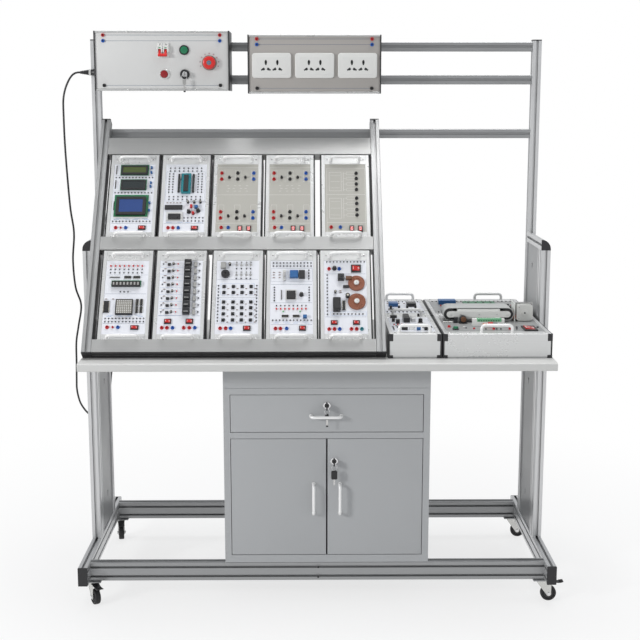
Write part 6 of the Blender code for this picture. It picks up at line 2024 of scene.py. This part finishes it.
floor_size = 30.0
fade_start, fade_end = 0.7, 2.2
near_whiteness = 0.74
sky_strength = 0.55
mirrored_white = 0.3
lens_millimetres = 67.64
camera_place = (-0.0251, -3.8852, 1.56)
camera_down = math.radians(10.151)
camera_aside = -0.009075
soft_lamps = (
    ("key_lamp", (-4.2, -3.2, 2.3), (0, 0, 1.0), 0.8, 0.8, 118.0),
    ("top_lamp", (0.2, 0.3, 4.4), (0, 0, 0.6), 3.2, 2.0, 100.0),
    ("fill_lamp", (3.6, -3.0, 1.8), (0, 0, 0.8), 2.5, 2.5, 18.0),
)


def white_to_camera(tree, shader, whiteness):
    """Shows plain white to the camera and to mirrors, less the share that keeps the shading."""
    path = tree.nodes.new("ShaderNodeLightPath")
    seen = maths(tree, "MAXIMUM", path.outputs["Is Camera Ray"], path.outputs["Is Glossy Ray"])
    seen = maths(tree, "MAXIMUM", seen, path.outputs["Is Transmission Ray"])
    glow = tree.nodes.new("ShaderNodeEmission")
    glow.inputs["Strength"].default_value = 1.0
    mix = tree.nodes.new("ShaderNodeMixShader")
    tree.links.new(maths(tree, "MULTIPLY", seen, whiteness), mix.inputs["Fac"])
    tree.links.new(shader, mix.inputs[1])
    tree.links.new(glow.outputs[0], mix.inputs[2])
    return mix.outputs[0]


def make_floor():
    bpy.ops.object.select_all(action="DESELECT")
    bpy.ops.mesh.primitive_plane_add(size=floor_size, location=(0, 0, floor_height))
    floor = bpy.context.object
    floor.name = "studio_floor"
    pale = bpy.data.materials.new("studio_floor")
    pale.use_nodes = True
    tree = pale.node_tree
    shader = tree.nodes["Principled BSDF"]
    shader.inputs["Base Color"].default_value = (0.86, 0.86, 0.86, 1.0)
    shader.inputs["Roughness"].default_value = 0.7
    out = tree.nodes["Material Output"]
    where = tree.nodes.new("ShaderNodeTexCoord")
    reach = tree.nodes.new("ShaderNodeVectorMath")
    reach.operation = "LENGTH"
    tree.links.new(where.outputs["Object"], reach.inputs[0])
    fade = tree.nodes.new("ShaderNodeMapRange")
    fade.interpolation_type = "SMOOTHSTEP"
    fade.inputs["From Min"].default_value = fade_start
    fade.inputs["From Max"].default_value = fade_end
    fade.inputs["To Min"].default_value = near_whiteness
    tree.links.new(reach.outputs["Value"], fade.inputs["Value"])
    tree.links.new(white_to_camera(tree, shader.outputs[0], fade.outputs["Result"]), out.inputs["Surface"])
    floor.data.materials.append(pale)


def make_sky():
    world = bpy.data.worlds.new("studio")
    bpy.context.scene.world = world
    world.use_nodes = True
    tree = world.node_tree
    light = tree.nodes["Background"]
    light.inputs["Color"].default_value = (0.8, 0.82, 0.85, 1.0)
    light.inputs["Strength"].default_value = sky_strength
    path = tree.nodes.new("ShaderNodeLightPath")
    seen = maths(tree, "MAXIMUM", path.outputs["Is Camera Ray"], path.outputs["Is Transmission Ray"])
    seen = maths(
        tree, "MAXIMUM", seen, maths(tree, "MULTIPLY", path.outputs["Is Glossy Ray"], mirrored_white)
    )
    white = tree.nodes.new("ShaderNodeBackground")
    white.inputs["Color"].default_value = (1, 1, 1, 1)
    mix = tree.nodes.new("ShaderNodeMixShader")
    tree.links.new(seen, mix.inputs["Fac"])
    tree.links.new(light.outputs[0], mix.inputs[1])
    tree.links.new(white.outputs[0], mix.inputs[2])
    tree.links.new(mix.outputs[0], tree.nodes["World Output"].inputs["Surface"])


def soft_lamp(name, place, aim, width, height, power):
    light = bpy.data.lights.new(name, "AREA")
    light.shape = "RECTANGLE"
    light.size = width
    light.size_y = height
    light.energy = power
    lamp = bpy.data.objects.new(name, light)
    add_to_scene(lamp)
    lamp.location = place
    lamp.rotation_euler = (Vector(aim) - Vector(place)).to_track_quat("-Z", "Y").to_euler()


make_floor()
make_sky()
for lamp in soft_lamps:
    soft_lamp(*lamp)

camera_data = bpy.data.cameras.new("camera")
camera_data.sensor_width = 36.0
camera_data.lens = lens_millimetres
camera = bpy.data.objects.new("camera", camera_data)
add_to_scene(camera)
camera.location = camera_place
camera.rotation_euler = (quarter - camera_down, 0, camera_aside)
bpy.context.scene.camera = camera
bpy.context.scene.view_settings.view_transform = "Standard"

for part in small_parts:
    bpy.data.objects.remove(part, do_unlink=True)
